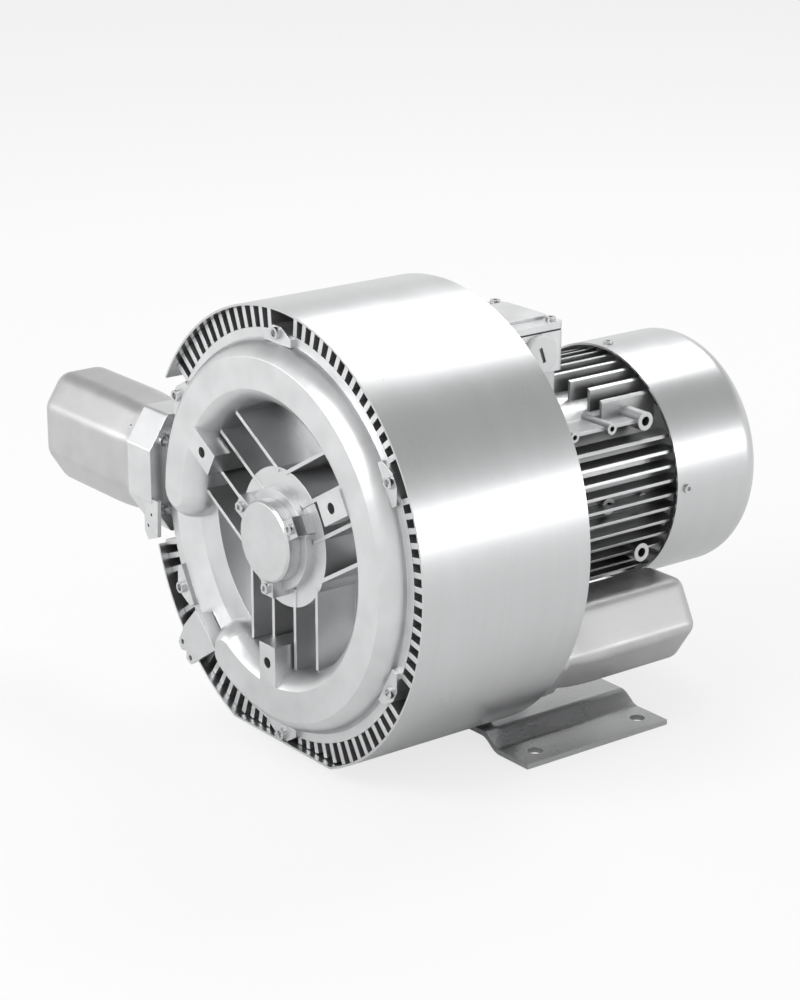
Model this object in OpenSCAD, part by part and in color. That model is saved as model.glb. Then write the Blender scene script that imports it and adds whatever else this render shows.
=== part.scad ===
// Two-stage side-channel blower: two impellers on one motor shaft, in finned castings
// inside a sheet shell, with a silencer on the inlet and one on the outlet.
// Millimetres, +Z up, +Y from the front cover to the motor, +X to the right seen from the front.
// The origin is on the floor, at the middle of the four foot holes.

/* [Casing] */
// Mean radius of the side channel
chan_r = 150.75; // [149:0.25:153]
// Radial width of the side channel
chan_w = 46.5; // [43:0.5:48]
// Wall round the side channel
wall = 6; // [5:0.25:7]
// Width of the flange ring outside the channel's bulge
flange_lip = 8; // [7:0.5:9]
// How far the cover's flange lies behind the shell's front edge
flange_z = 7; // [6:0.5:10]
// Height of the cover's flat land in front of the shell's edge
land_out = 12.5; // [11.5:0.25:13.5]
// Depth of the recess floor behind the shell's front edge
recess_z = 46; // [43:0.5:47]
// First angle of the first stage's channel, counter-clockwise seen from the front
chan_from = -120; // [-125:1:-115]
// Last angle of the first stage's channel
chan_to = 178; // [174:1:182]
// First angle of the second stage's channel
chan2_from = -58; // [-62:1:-56]
// Last angle of the second stage's channel
chan2_to = 246; // [244:1:250]
// Thickness of the gaskets between the castings
gasket_t = 1; // [0.5:0.25:1.5]

/* [Shell and fins] */
// Radial air gap between the casing barrel and the shell
air_gap = 20; // [18:0.5:22]
// Thickness of the shell sheet
shell_t = 2; // [1.5:0.25:2.5]
// Length of the shell
shell_l = 182.5; // [180:0.5:186]
// Height of the shaft above the shell's flat underside
flat_z = 196; // [195.5:0.5:199]
// Number of cooling fins round the casing
fin_count = 96; // [72:12:120]
// Thickness of a cooling fin
fin_t = 5.2; // [4:0.2:6]

/* [Impellers] */
// Front of the first impeller's blades behind the shell's front edge
imp_z = 23; // [22.5:0.25:24]
// Width of an impeller's blade ring along the shaft
imp_w = 30; // [28:0.5:31]
// Distance from the first impeller to the second
stage_pitch = 82; // [81:0.5:84]
// Blades on each impeller
blade_count = 44; // [36:2:52]
// Thickness of a blade
blade_t = 2.6; // [2:0.2:3]
// Gap between the impellers and the castings
run_gap = 0.6; // [0.4:0.1:0.8]
// Outer radius of an impeller hub
hub_r = 26; // [25:0.5:27]

/* [Shaft and bearings] */
// Shaft radius in the impellers
seat_r = 19; // [18:0.5:20]
// Shaft radius in the motor
shaft_r = 23; // [22:0.5:24]
// Bore of both bearings
brg_bore = 30; // [28:1:32]
// Outer diameter of the front bearing
brg1_od = 72; // [70:1:74]
// Width of the front bearing
brg1_w = 19; // [18:1:20]
// Outer diameter of the rear bearing
brg2_od = 62; // [60:1:64]
// Width of the rear bearing
brg2_w = 16; // [15:1:17]
// Running clearance round the shaft
shaft_gap = 0.05; // [0.02:0.01:0.08]

/* [Front bearing cap] */
// Radius of the bearing cap
cap_r = 37.5; // [37.5:0.5:39]
// Height of the cap's face in front of the shell's edge
cap_out = 16; // [15:0.5:18]
// Radius of the circle of cap screws
cap_screw_r = 44; // [43.5:0.5:45]
// Radius of the hub in the cover
cover_hub_r = 64; // [62:0.5:66]

/* [Cover pads and ribs] */
// Radius of the circle of threaded pads
pad_circle_r = 115; // [113:0.5:117]
// Width of a pad
pad_w = 24; // [22:1:26]
// Length of a pad along the radius
pad_l = 38; // [36:1:40]
// Radius of a pad's threaded hole
pad_hole_r = 5.1; // [4:0.1:6]
// Thickness of the cover's ribs
rib_t = 3.6; // [3:0.2:4.5]
// Sideways distance between two neighbouring ribs
rib_pitch = 33.5; // [33:0.25:34.5]

/* [Motor] */
// Front of the motor housing behind the shell's front edge
motor_z = 186; // [185:0.5:188]
// Length of the motor housing
motor_l = 196; // [194:1:198]
// Inner radius of the motor housing
stator_r = 86; // [84:0.5:87]
// Wall of the motor housing
motor_wall = 7; // [6:0.5:8]
// Radius of the motor fins' edges
motor_fin_r = 110; // [107:0.5:111]
// Thickness of a motor fin
motor_fin_t = 3; // [2.5:0.25:3.5]
// Vertical distance between two side fins
motor_fin_pitch = 13.5; // [12.5:0.25:14.5]
// Length of the stator's steel stack
stack_l = 116; // [110:1:120]
// Inner radius of the stator
gap_r = 54; // [52:0.5:56]

/* [Fan and cowl] */
// Outer radius of the fan cowl
cowl_r = 115.7; // [114.5:0.1:117]
// Front edge of the cowl behind the shell's front edge
cowl_z = 373; // [371:0.5:375]
// Length of the cowl
cowl_l = 110; // [108:0.5:114]
// Thickness of the cowl's sheet
cowl_t = 2; // [1.5:0.25:2.5]
// Outer radius of the cooling fan
fan_r = 88; // [84:1:92]
// Number of fan blades
fan_blades = 9; // [7:1:11]

/* [Terminal box] */
// Width of the terminal box
box_w = 98; // [94:1:102]
// Length of the terminal box
box_l = 98; // [94:1:100]
// Height of the box's underside above the shaft
box_z = 117.5; // [116:0.5:119]
// Height of the box without its lid
box_h = 38; // [37:0.5:40]
// Thickness of the lid
lid_h = 9; // [8:0.5:10]
// Wall of the box
box_wall = 4; // [3:0.5:5]
// Radius of the blanking plug's head
plug_r = 18.5; // [17.5:0.25:18.5]

/* [Silencers] */
// Length of the inlet silencer
inlet_l = 165; // [155:1:175]
// Length of the outlet silencer
outlet_l = 165; // [155:1:175]
// Wall of the silencer housings
sil_wall = 3.5; // [3:0.25:4.5]
// Distance from the shaft to the inlet silencer's flange
inlet_x = 240; // [238:0.5:243]
// Radius of the threaded pipe ports
port_r = 28.3; // [26:0.1:30]
// Depth of the threaded pipe ports
port_l = 24; // [22:1:28]

/* [Base] */
// Distance from the shell's front edge to the middle of the foot holes
foot_setback = 250; // [246:1:254]
// Length of the base bracket
base_l = 170; // [160:1:176]
// Distance between foot holes across the machine
foot_x = 270; // [264:1:276]
// Distance between foot holes along the machine
foot_y = 125; // [120:1:130]
// Radius of a foot hole
foot_hole_r = 7; // [6:0.25:8]
// Height of the bracket's top above the floor
base_h = 16; // [14:0.5:18]
// Thickness of the bracket's plate
base_t = 5; // [4:0.25:6]

/* [Hidden] */
$fn = 96;
eps = 0.01;
seat_gap = 0.3;
end_step = 0.3;
screw_gap = 0.1;
chan_half = chan_w / 2;
lobe_half = chan_half - 0.5;
bulge_half = chan_half + wall;
chan_in = chan_r - chan_half;
chan_out = chan_r + chan_half;
recess_r = chan_r - bulge_half;
bulge_r = chan_r + bulge_half;
flange_r = bulge_r + flange_lip;
shell_r = flange_r + air_gap + shell_t;
fin_tip_r = flange_r + air_gap - seat_gap;
fin_root_r = flange_r - 3;
axis_h = flat_z + base_h;

imp2_z = imp_z + stage_pitch;
imp_end = imp_z + imp_w;
imp2_end = imp2_z + imp_w;
lobe_z = imp_z - 10;
joint_1 = imp_z + 7;
joint_2 = imp2_z + 22;
cup_in = chan_in + 1;
cup_t = 4;
cup_r = cup_in + cup_t;
web_s = imp_w + 4;
web_t = 6;
web_end = web_s + web_t;
hub_s = 2;
cup_set = 0.5;
key_w = 8;
key_h = 7;
key_l = 28;
key_s = 6;

brg1_z = imp_z - hub_s - brg1_w;
nut_l = 8;
shaft_front = brg1_z - nut_l - 2;
shoulder_z = imp2_end + hub_s;
cap_t = 4;
boss_r = 46;
boss_z = brg1_z - 4;
hub_face_z = 6;
seal_w = 8;
seal_r = 36;
hub_bore_r = hub_r + 3;
cap_screw_d = 6;
cover_bolt_d = 8;
cover_bolt_r = flange_r - 0.5;
lug_out = min(cover_bolt_r + 8, flat_z - shell_t - seat_gap);
head_pocket_r = 8;
lug_angles = [30, 90, 150, 210, 270, 330];
pad_angles = [30, 150, 270];
pad_out = 14;

seat_ring_r = 110;
seat_ring_in = 95;
rear_floor_z = imp2_end - web_s + 5;
rear_lobe_z = imp2_end + 1.5;
skirt_end = shell_l - 2.5;
motor_end = motor_z + motor_l;
motor_r = stator_r + motor_wall;
motor_bolt_r = (motor_r + seat_ring_r) / 2 + 0.5;
motor_bolt_d = 8;
motor_flange_t = 12;
corners = [45, 135, 225, 315];
lead_w = 36;
fin_start = motor_z + 21;
stack_z = motor_z + 40;
rotor_r = gap_r - 0.6;
shield_t = 9;
brg2_z = motor_end - 8;
brg2_end = brg2_z + brg2_w;
cage_ring_l = 10;
fan_shaft_r = 12;
fan_z = motor_end + 26;
fan_hub_l = 30;
fan_w = 38;
shaft_end = fan_z + fan_hub_l + 6;
cowl_round = 20;
cowl_screw_z = cowl_z + 12;
shield_screw_d = 6;
shield_screw_r = motor_r - motor_wall / 2;

box_z0 = shell_l + 6.5;
box_mid = box_z0 + box_l / 2;
lid_gasket_t = 1.5;
box_top = box_z + box_h;
plug_thread_r = 12.5;
box_post = 13;
box_post_in = 9;
box_corner = box_w / 2 - box_post_in;
box_screw_x = box_corner - 7;
box_screw_y = box_l / 2 - box_post_in - 14;
lead_l = 2 * box_screw_y - 8;
plug_at = box_z0 + box_l - box_post_in - box_post / 2 - plug_thread_r - 1.5;
plug_up = box_z + 19;

neck_z = 38;
neck_up = 6.5;
neck_half = 43;
neck_high = 55.5;
neck_in_x = 200;
sil_gasket_t = 1;
out_face = shell_l + 22.5;
out_x = 108;
out_up = -121;
duct_r = 22;
sil_screw_d = 6;

base_y0 = -88;
foot_plate_t = 10;

// Frames and shared shapes

// Puts x to the right, y up and z along the shaft to the rear, from the shell's front edge.
module axle(z = 0)
    translate([0, z - foot_setback, axis_h]) rotate([-90, 0, 0]) mirror([0, 1, 0]) children();

// Copies a shape to a radius and a list of angles about the shaft.
module round_axis(r, angles)
    for (a = angles) rotate([0, 0, a]) translate([r, 0, 0]) children();

// Turns a shape's z to the left, its x to the rear and keeps its y up.
module leftward(x) translate([-x, 0, 0]) rotate([0, -90, 0]) children();

module tube(r_out, r_in, l)
    difference() {
        cylinder(r = r_out, h = l);
        translate([0, 0, -1]) cylinder(r = r_in, h = l + 2);
    }

function polar(r, a) = [r * cos(a), r * sin(a)];

// Radius of a fin that stays a depth above the shell's flat underside, at both of its corners.
function under_shell(a, depth) =
    let (turn = asin(fin_t / 2 / fin_root_r), low = max(-sin(a - turn), -sin(a + turn)))
    low > 0.5 ? min(fin_tip_r, (flat_z - depth) / low) : fin_tip_r;

// Corners of one straight-sided tooth between two radii.
function tooth(a, r0, r1, w) = [
    polar(r0, a - asin(w / 2 / r0)), polar(r1, a - asin(w / 2 / r1)),
    polar(r1, a + asin(w / 2 / r1)), polar(r0, a + asin(w / 2 / r0))];

// A ring of teeth on a solid disc.
module toothed(n, r0, r1, w) polygon([for (i = [0:n - 1]) each tooth(360 * i / n, r0, r1, w)]);

// Points of an outline whose corners are rounded to a radius.
function unit(v) = v / norm(v);
function rounded(pts, r, steps = 4) = [for (i = [0:len(pts) - 1])
    let (p = pts[i], u = unit(pts[(i + len(pts) - 1) % len(pts)] - p), v = unit(pts[(i + 1) % len(pts)] - p),
        half = acos(u * v) / 2, c = p + unit(u + v) * r / sin(half),
        a = p + u * r / tan(half) - c, b = p + v * r / tan(half) - c,
        turn = acos(min(1, a * b / r / r)), side = sign(a.x * b.y - a.y * b.x))
    for (k = [0:steps]) c + [a.x * cos(side * turn * k / steps) - a.y * sin(side * turn * k / steps),
        a.x * sin(side * turn * k / steps) + a.y * cos(side * turn * k / steps)]];

// An outline moved inward by a depth.
function inset(pts, d) = [for (i = [0:len(pts) - 1])
    let (p = pts[i], u = unit(pts[(i + len(pts) - 1) % len(pts)] - p), v = unit(pts[(i + 1) % len(pts)] - p))
    p + unit(u + v) * d / sin(acos(u * v) / 2)];

function box_outline(w, h) = [[-w / 2, -h / 2], [w / 2, -h / 2], [w / 2, h / 2], [-w / 2, h / 2]];

// A screw that points along +z from the underside of its head.
module screw(d, l, head_d = 0, head_h = 0) {
    head = head_d > 0 ? head_d : 1.6 * d;
    high = head_h > 0 ? head_h : 0.8 * d;
    difference() {
        union() {
            translate([0, 0, -high]) cylinder(d = head, h = high);
            translate([0, 0, -eps]) cylinder(d = d, h = l + eps);
        }
        translate([0, 0, -high - eps]) cylinder(r = 0.46 * d, h = 0.45 * d, $fn = 6);
    }
}

module screw_hole(d, l) translate([0, 0, -eps]) cylinder(r = d / 2 + screw_gap, h = l + eps);

// Casing

neck_outline = [[-neck_half, -neck_high + 31], [-neck_half + 20, -neck_high], [neck_half - 20, -neck_high],
    [neck_half, -neck_high + 31], [neck_half, neck_high - 31], [neck_half - 20, neck_high],
    [-neck_half + 20, neck_high], [-neck_half, neck_high - 31]];

outlet_outline = [[-20, -42], [20, -40], [43, -6], [43, 2], [23, 41], [-22, 41], [-43, 2], [-43, -6]];

inlet_screw_xy = [for (x = [-31, 31], y = [-34, 34]) [x, y]];
outlet_screw_xy = [[17, 33], [-17, 33], [-16, -33], [16, -33]];

neck_from = 150;
neck_to = 196;
lug_half = 5;

// The stretches without fins at the neck, over the shell's two pads and over the leg.
neck_gap = [[neck_from, neck_to]];
pad_gaps = [[252, 262.5], [277.5, 288]];
leg_gap = [[252, 288]];

// Whether a fin stands at an angle, on a casting with these gaps.
function near_lug(a) = len([for (b = lug_angles) if (abs((a - b + 540) % 360 - 180) < lug_half) b]) > 0;
function fin_stands(a, gaps) = !near_lug(a) && len([for (g = gaps) if (a > g[0] && a < g[1]) g]) == 0;

// The cooling fins of one casting between two planes, a little short of its ends.
fin_inset = 0.5;
module fins(z0, z1, gaps)
    translate([0, 0, z0 + fin_inset]) linear_extrude(z1 - z0 - 2 * fin_inset) difference() {
        polygon([for (i = [0:fin_count - 1]) let (a = 360 * (i + 0.5) / fin_count)
            each tooth(a, fin_root_r,
                fin_stands(a, gaps) ? under_shell(a, shell_t + seat_gap) : fin_root_r + 1, fin_t)]);
        circle(r = fin_root_r - 1);
        round_axis(cover_bolt_r, lug_angles) circle(r = head_pocket_r + 0.6);
    }

// Section of a round-bottomed side channel, centred at z and open to the impeller at z_open.
// Its round bottom is cut off level where a flat land is asked for.
module lobe_2d(half, z, z_open, flat) {
    side = sign(z_open - z);
    reach = flat > 0 ? half - flat : half + 1;
    intersection() {
        union() {
            translate([0, z]) circle(r = half);
            translate([-half, min(z, z_open)]) square([2 * half, abs(z_open - z)]);
        }
        translate([-half - 1, side > 0 ? z - reach : z_open]) square([2 * half + 2, reach + abs(z_open - z)]);
    }
}

// A flat-ended channel from one angle to another.
module channel(half, z, z_open, from, to, flat = 0)
    rotate_extrude(angle = to - from, start = from) translate([chan_r, 0]) lobe_2d(half, z, z_open, flat);

// A channel of the first stage, closed by a round end at its first and last angle. The ends are
// a little smaller than the channel and stand partly inside it.
module lobe(half, z, z_open, flat) {
    channel(half, z, z_open, chan_from, chan_to, flat);
    for (a = [chan_from + 0.5, chan_to - 0.5]) rotate([0, 0, a]) translate([chan_r, 0, 0])
        rotate_extrude() intersection() {
            lobe_2d(half - end_step, z, z_open - sign(z_open - z) * end_step, max(0, flat - end_step / 2));
            translate([0, z - 2 * half]) square([2 * half, 4 * half]);
        }
}

bulge_flat = max(0, bulge_half - land_out - lobe_z);
channel_flat = max(1, lobe_half + bulge_flat - bulge_half + 0.5);
strip_z = imp_z - run_gap - wall;

// The cover's section in the gap between the channel's ends, where it closes on the blades.
module cover_section() polygon([
    [0, recess_z + wall], [0, boss_z], [boss_r, boss_z], [boss_r, hub_face_z], [cover_hub_r, hub_face_z],
    [cover_hub_r, recess_z], [recess_r, recess_z], [recess_r, strip_z], [chan_r + 2, strip_z],
    [bulge_r - 2, flange_z], [flange_r, flange_z], [flange_r, joint_1], [chan_out, joint_1],
    [chan_out, imp_z - run_gap], [chan_in, imp_z - run_gap], [chan_in, recess_z + wall]]);

// The bore through the cover: the bearing's seat, the way for the impeller's hub and the seal's seat.
module cover_bore() polygon([
    [0, boss_z - 1], [brg1_od / 2, boss_z - 1], [brg1_od / 2, brg1_z + brg1_w], [hub_bore_r, brg1_z + brg1_w],
    [hub_bore_r, recess_z + wall - seal_w], [seal_r, recess_z + wall - seal_w], [seal_r, recess_z + wall + 1],
    [0, recess_z + wall + 1]]);

module cover_lug() linear_extrude(joint_1 - 3) polygon([
    [bulge_r - 2, -20], [bulge_r + 5, -20], [lug_out, -6], [lug_out, 6],
    [bulge_r + 5, 20], [bulge_r - 2, 20]]);

module cover_ribs()
    for (a = pad_angles, k = [-1.5, -0.5, 0.5, 1.5]) rotate([0, 0, a]) {
        off = k * rib_pitch;
        edge = abs(off) + rib_t / 2;
        reach = sqrt((recess_r + 1) ^ 2 - edge ^ 2);
        from = abs(off) < boss_r ? cover_hub_r - 20 : sqrt((cover_hub_r - 1.5) ^ 2 - edge ^ 2);
        translate([from, off - rib_t / 2, hub_face_z - 1])
            cube([reach - from, rib_t, recess_z - hub_face_z + 2]);
    }

module cover_pad() {
    inner = recess_r - pad_l / 2 - 5;
    translate([inner, -pad_w / 2, -pad_out]) cube([recess_r + 1.5 - inner, pad_w, recess_z + pad_out + 1]);
    translate([inner, -pad_w / 2, -pad_out]) cube([pad_l, pad_w, lobe_z + pad_out]);
}

module cover_body() difference() {
    union() {
        rotate_extrude() cover_section();
        lobe(bulge_half, lobe_z, imp_z - run_gap - 0.5, bulge_flat);
        round_axis(cap_screw_r, pad_angles) translate([-6, -9, boss_z])
            cube([13, 18, hub_face_z - boss_z + 1]);
        cover_ribs();
        round_axis(0, pad_angles) cover_pad();
        round_axis(0, lug_angles) translate([0, 0, 2]) cover_lug();
    }
    lobe(lobe_half, lobe_z, imp_z, channel_flat);
    rotate_extrude() cover_bore();
    round_axis(pad_circle_r, pad_angles) translate([0, 0, -pad_out - 1]) cylinder(r = pad_hole_r, h = 22);
    round_axis(cap_screw_r, pad_angles) translate([0, 0, boss_z]) screw_hole(cap_screw_d, 18);
    round_axis(cover_bolt_r, lug_angles) screw_hole(cover_bolt_d, joint_1 + 1);
}

module eye_stem() rotate([0, 0, eye_angle]) translate([bulge_r - 13, -15, -1]) cube([17, 33, flange_z + 4]);

// A small plate with two eyes, beside the lower end of the bulge.
eye_angle = -134;
eye_t = 5;
module eye_plate() rotate([0, 0, eye_angle]) translate([0, 0, -eye_t - 0.5]) difference() {
    linear_extrude(eye_t) polygon([
        [bulge_r - 14, -20], [flange_r + 6, -20], [shell_r + 7, -14], [shell_r + 9, -6],
        [shell_r + 2, 0], [shell_r + 8, 5], [shell_r + 5, 13], [flange_r + 4, 18], [bulge_r - 14, 24]]);
    for (y = [-10, 8]) translate([shell_r + 1, y, -1]) cylinder(r = 2.6, h = eye_t + 2);
}

module front_cover() color("#c9cbcd") axle() {
    cover_body();
    eye_stem();
    eye_plate();
    fins(flange_z, joint_1, neck_gap);
}

// Threaded bosses for the long bolts, between two planes. They stop short of the shell's flat underside.
module bolt_bosses(z0, z1)
    round_axis(cover_bolt_r, lug_angles) translate([0, 0, z0]) linear_extrude(z1 - z0) intersection() {
        union() {
            circle(r = 9);
            translate([-8, -9]) square([8, 18]);
        }
        translate([-9, -10]) square([9 + lug_out - cover_bolt_r, 20]);
    }

// The inlet's duct with its eight-sided flange, and the small lug plate below it.
duct_w = 52;
duct_h = 80;
module neck_duct(z0) {
    top = neck_z - duct_w / 2;
    translate([-neck_in_x - 1, neck_up - duct_h / 2, z0])
        cube([neck_in_x - chan_r, duct_h, neck_z + duct_w / 2 - z0]);
    translate([-neck_in_x - 1, neck_up - duct_h / 2, top])
        cube([neck_in_x - flange_r - 1, duct_h, z0 - top + 1]);
    translate([0, neck_up, neck_z]) rotate([0, -90, 0]) translate([0, 0, neck_in_x])
        linear_extrude(inlet_x - neck_in_x) polygon(rounded(neck_outline * 1.04, 4));
    translate([-neck_in_x - 14, neck_up - 56, neck_z - neck_half - 1]) linear_extrude(4)
        polygon([[0, 0], [6, -8], [22, -2], [24, 34], [0, 34]]);
}

// The space for both impellers, with the dividing wall between them.
module centre_cavity(z0) {
    wall_1 = imp_z + web_end + 2;
    wall_2 = imp2_end - web_end - 2;
    far = cup_r + run_gap;
    polygon([[0, z0 - 1], [chan_out, z0 - 1], [chan_out, imp_end + run_gap], [far, imp_end + run_gap],
        [far, wall_1], [hub_bore_r, wall_1], [hub_bore_r, wall_2], [far, wall_2], [far, imp2_z - run_gap],
        [chan_out, imp2_z - run_gap], [chan_out, joint_2 + 1], [0, joint_2 + 1]]);
}

module centre_body(z0) difference() {
    union() {
        translate([0, 0, z0]) cylinder(r = flange_r, h = joint_2 - z0);
        bolt_bosses(z0 + 0.2, joint_2 - 0.2);
        neck_duct(z0);
        for (x = [-40, 40]) translate([x - 10, -flat_z + shell_t + seat_gap, shroud_screw_z - 10])
            cube([20, 20, 20]);
    }
    rotate_extrude() centre_cavity(z0);
    channel(lobe_half, imp_end, imp_end - 1, chan_from, chan_to);
    channel(lobe_half, imp2_z, imp2_z + 1, chan2_from, chan2_to);
    transfer_port();
    round_axis(cover_bolt_r, lug_angles) translate([0, 0, z0 - 1]) screw_hole(cover_bolt_d, 27);
    round_axis(cover_bolt_r, lug_angles) translate([0, 0, joint_2 - 30]) screw_hole(cover_bolt_d, 31);
    translate([0, neck_up, neck_z]) rotate([0, -90, 0]) translate([0, 0, chan_out - 0.3])
        cylinder(r = duct_r, h = inlet_x - chan_out + 2);
    silencer_screw_sites() screw_hole(sil_screw_d, 60);
    shroud_screw_sites() screw_hole(6, 14);
    for (p = [[-8, -50], [-2, -38]]) translate([p.x - neck_in_x, neck_up + p.y, neck_z - neck_half - 2])
        cylinder(r = 1.6, h = 8);
}

module centre_casing() color("#bfc2c4") axle() {
    z0 = joint_1 + gasket_t;
    centre_body(z0);
    fins(z0, joint_2, concat(neck_gap, pad_gaps));
}

// The passage that carries the air from the first stage's end to the second's start.
module transfer_port()
    rotate([0, 0, (chan_from + chan2_to - 360) / 2]) translate([chan_r - 12, -14, imp_end + 6])
        cube([24, 28, stage_pitch - imp_w - 12]);

shroud_screw_z = 82;
module shroud_screw_sites()
    for (x = [-40, 40]) translate([x, -flat_z, shroud_screw_z]) rotate([-90, 0, 0]) children();

module silencer_screw_sites()
    translate([-neck_in_x, neck_up, neck_z]) rotate([0, -90, 0])
        for (p = inlet_screw_xy) translate(p) children();

module outlet_sites()
    for (p = outlet_screw_xy) translate([out_x + p.x, out_up + p.y, 0]) children();

module rear_ribs()
    for (a = [22.5:45:359]) rotate([0, 0, a]) {
        translate([40, -2.5, rear_floor_z + 1]) cube([seat_ring_in - 39, 5, wall + 25]);
        translate([seat_ring_r - 1, -2.5, rear_floor_z + 1]) cube([recess_r - seat_ring_r + 2, 5, wall + 39]);
    }

// The rear casing's section where the channel stops: flange and skirt, blade space, floor, hub
// and motor seat.
module rear_section(z0) {
    back = imp2_end + run_gap + wall;
    polygon([[0, rear_floor_z], [chan_in, rear_floor_z], [chan_in, imp2_end + run_gap],
        [chan_out, imp2_end + run_gap], [chan_out, z0], [flange_r, z0], [flange_r, skirt_end],
        [bulge_r, skirt_end], [bulge_r, back], [recess_r, back], [recess_r, rear_floor_z + wall],
        [seat_ring_r, rear_floor_z + wall], [seat_ring_r, motor_z], [seat_ring_in, motor_z],
        [seat_ring_in, rear_floor_z + wall], [44, rear_floor_z + wall], [44, rear_floor_z + 40],
        [0, rear_floor_z + 40]]);
}

module rear_bore() polygon([
    [0, rear_floor_z - 1], [seal_r, rear_floor_z - 1], [seal_r, rear_floor_z + seal_w],
    [hub_bore_r, rear_floor_z + seal_w], [hub_bore_r, rear_floor_z + 41], [0, rear_floor_z + 41]]);

module leg() {
    top = -flange_r + 12;
    for (x = [-52, 44]) translate([x, 0, skirt_end - 24]) rotate([90, 0, 90]) linear_extrude(8)
        polygon([[top, 0], [-flat_z + shell_t + seat_gap, 0], [-flat_z + shell_t + seat_gap, 28],
            [-flat_z, 28], [-flat_z, 94], [-flat_z + 12, 94], [top + 70, 28], [top + 70, 0]]);
    translate([-52, -flat_z, skirt_end + 4]) cube([104, foot_plate_t, 66]);
    base_screw_sites() translate([0, 0, base_t]) cylinder(r = 10, h = 20);
}

module base_screw_sites()
    for (x = [-30, 30], z = [skirt_end + 24, skirt_end + 54])
        translate([x, -flat_z - base_t, z]) rotate([-90, 0, 0]) children();

module rear_body(z0) difference() {
    union() {
        rotate_extrude() rear_section(z0);
        channel(bulge_half - 0.2, rear_lobe_z, imp2_end + run_gap + 0.4, chan2_from - 3, chan2_to + 3);
        rear_ribs();
        bolt_bosses(z0 + 0.2, z0 + 16);
        translate([out_x, out_up, imp2_end + run_gap + 2]) linear_extrude(out_face - imp2_end - run_gap - 2)
            polygon(rounded(outlet_outline, 7));
        leg();
    }
    channel(lobe_half, rear_lobe_z, imp2_end - 1, chan2_from, chan2_to);
    rotate_extrude() rear_bore();
    translate([out_x, out_up, rear_lobe_z]) cylinder(r = duct_r, h = 100);
    translate([0, 0, out_face]) outlet_sites() translate([0, 0, -16]) screw_hole(sil_screw_d, 17);
    round_axis(cover_bolt_r, lug_angles) translate([0, 0, z0 - 1]) screw_hole(cover_bolt_d, 20);
    round_axis(cover_bolt_r, lug_angles) translate([0, 0, z0 + 16])
        cylinder(r = head_pocket_r, h = skirt_end - z0 - 15);
    translate([0, 0, motor_z - 22]) round_axis(motor_bolt_r, corners) screw_hole(motor_bolt_d, 23);
    base_screw_sites() screw_hole(10, 22);
}

module rear_casing() color("#bfc2c4") axle() {
    z0 = joint_2 + gasket_t;
    rear_body(z0);
    fins(z0, skirt_end, leg_gap);
}

module joint_gaskets() color("#4a4c4e") for (z = [joint_1, joint_2]) axle(z)
    difference() {
        cylinder(r = flange_r - 2, h = gasket_t);
        translate([0, 0, -1]) cylinder(r = chan_out + 1, h = gasket_t + 2);
        round_axis(cover_bolt_r, lug_angles) translate([0, 0, -1])
            cylinder(d = cover_bolt_d + 1, h = gasket_t + 2);
    }

module cover_bolts() color("#b8babc") axle(2) round_axis(cover_bolt_r, lug_angles)
    screw(cover_bolt_d, joint_1 + 20, 11, 4);

module casing_bolts() color("#b8babc") axle(joint_2 + gasket_t + 16) round_axis(cover_bolt_r, lug_angles)
    rotate([180, 0, 0]) screw(cover_bolt_d, 40, 12, 6);

// Shell

module shell_outline(inset) {
    r = shell_r - inset;
    intersection() {
        circle(r = r);
        translate([-r, -flat_z + inset]) square([2 * r, 2 * r + flat_z]);
    }
}

module air_shroud() color("#d3d5d6") axle() difference() {
    linear_extrude(shell_l) shell_outline(0);
    translate([0, 0, -1]) linear_extrude(shell_l + 2) shell_outline(shell_t);
    translate([0, 0, -1]) linear_extrude(neck_z + neck_half + 8)
        polygon([[0, 0], polar(2 * shell_r, neck_from - 1), polar(2 * shell_r, neck_to + 1)]);
    shroud_screw_sites() translate([0, 0, -1]) cylinder(r = 3.3, h = 6);
}

module shroud_screws() color("#a8aaac") axle() shroud_screw_sites() screw(6, 14, 11, 3);

// Front bearing cap

module bearing_cap() color("#cdcfd0") axle(-cap_out) {
    l = boss_z + cap_out;
    difference() {
        union() {
            translate([0, 0, 2]) cylinder(r = cap_r, h = l - 2);
            cylinder(r1 = cap_r - 2, r2 = cap_r, h = 2 + eps);
            round_axis(cap_screw_r, pad_angles) translate([-12, -9, 3]) cube([19, 18, l - 3]);
        }
        translate([0, 0, cap_t]) cylinder(r = brg1_od / 2 - 5, h = l);
        round_axis(cap_screw_r, pad_angles) translate([0, 0, 3]) screw_hole(cap_screw_d, l);
    }
}

module cap_screws() color("#9ea0a2") axle(3 - cap_out) round_axis(cap_screw_r, pad_angles)
    screw(cap_screw_d, 26, 10, 3.4);

// Bearings

function ball_r(od) = (od - brg_bore) / 2 * 0.29;
function pitch_r(od) = (od + brg_bore) / 4;

module race(od, w, r_in, r_out) rotate_extrude() difference() {
    translate([r_in, 0]) square([r_out - r_in, w]);
    translate([pitch_r(od), w / 2]) circle(r = ball_r(od) + 0.15);
}

module outer_race(od, w) race(od, w, pitch_r(od) + 0.68 * ball_r(od), od / 2);
module inner_race(od, w) race(od, w, brg_bore / 2 + shaft_gap / 2, pitch_r(od) - 0.68 * ball_r(od));

module ball_set(od, w, n) {
    pocket = ball_r(od) + 0.1;
    difference() {
        translate([0, 0, w / 2 - 3.5]) tube(pitch_r(od) + 1.6, pitch_r(od) - 1.6, 7);
        round_axis(pitch_r(od), [for (i = [0:n - 1]) 360 * i / n])
            translate([0, 0, w / 2]) sphere(r = pocket);
    }
    round_axis(pitch_r(od), [for (i = [0:n - 1]) 360 * i / n])
        translate([0, 0, w / 2]) sphere(r = ball_r(od));
}

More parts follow.
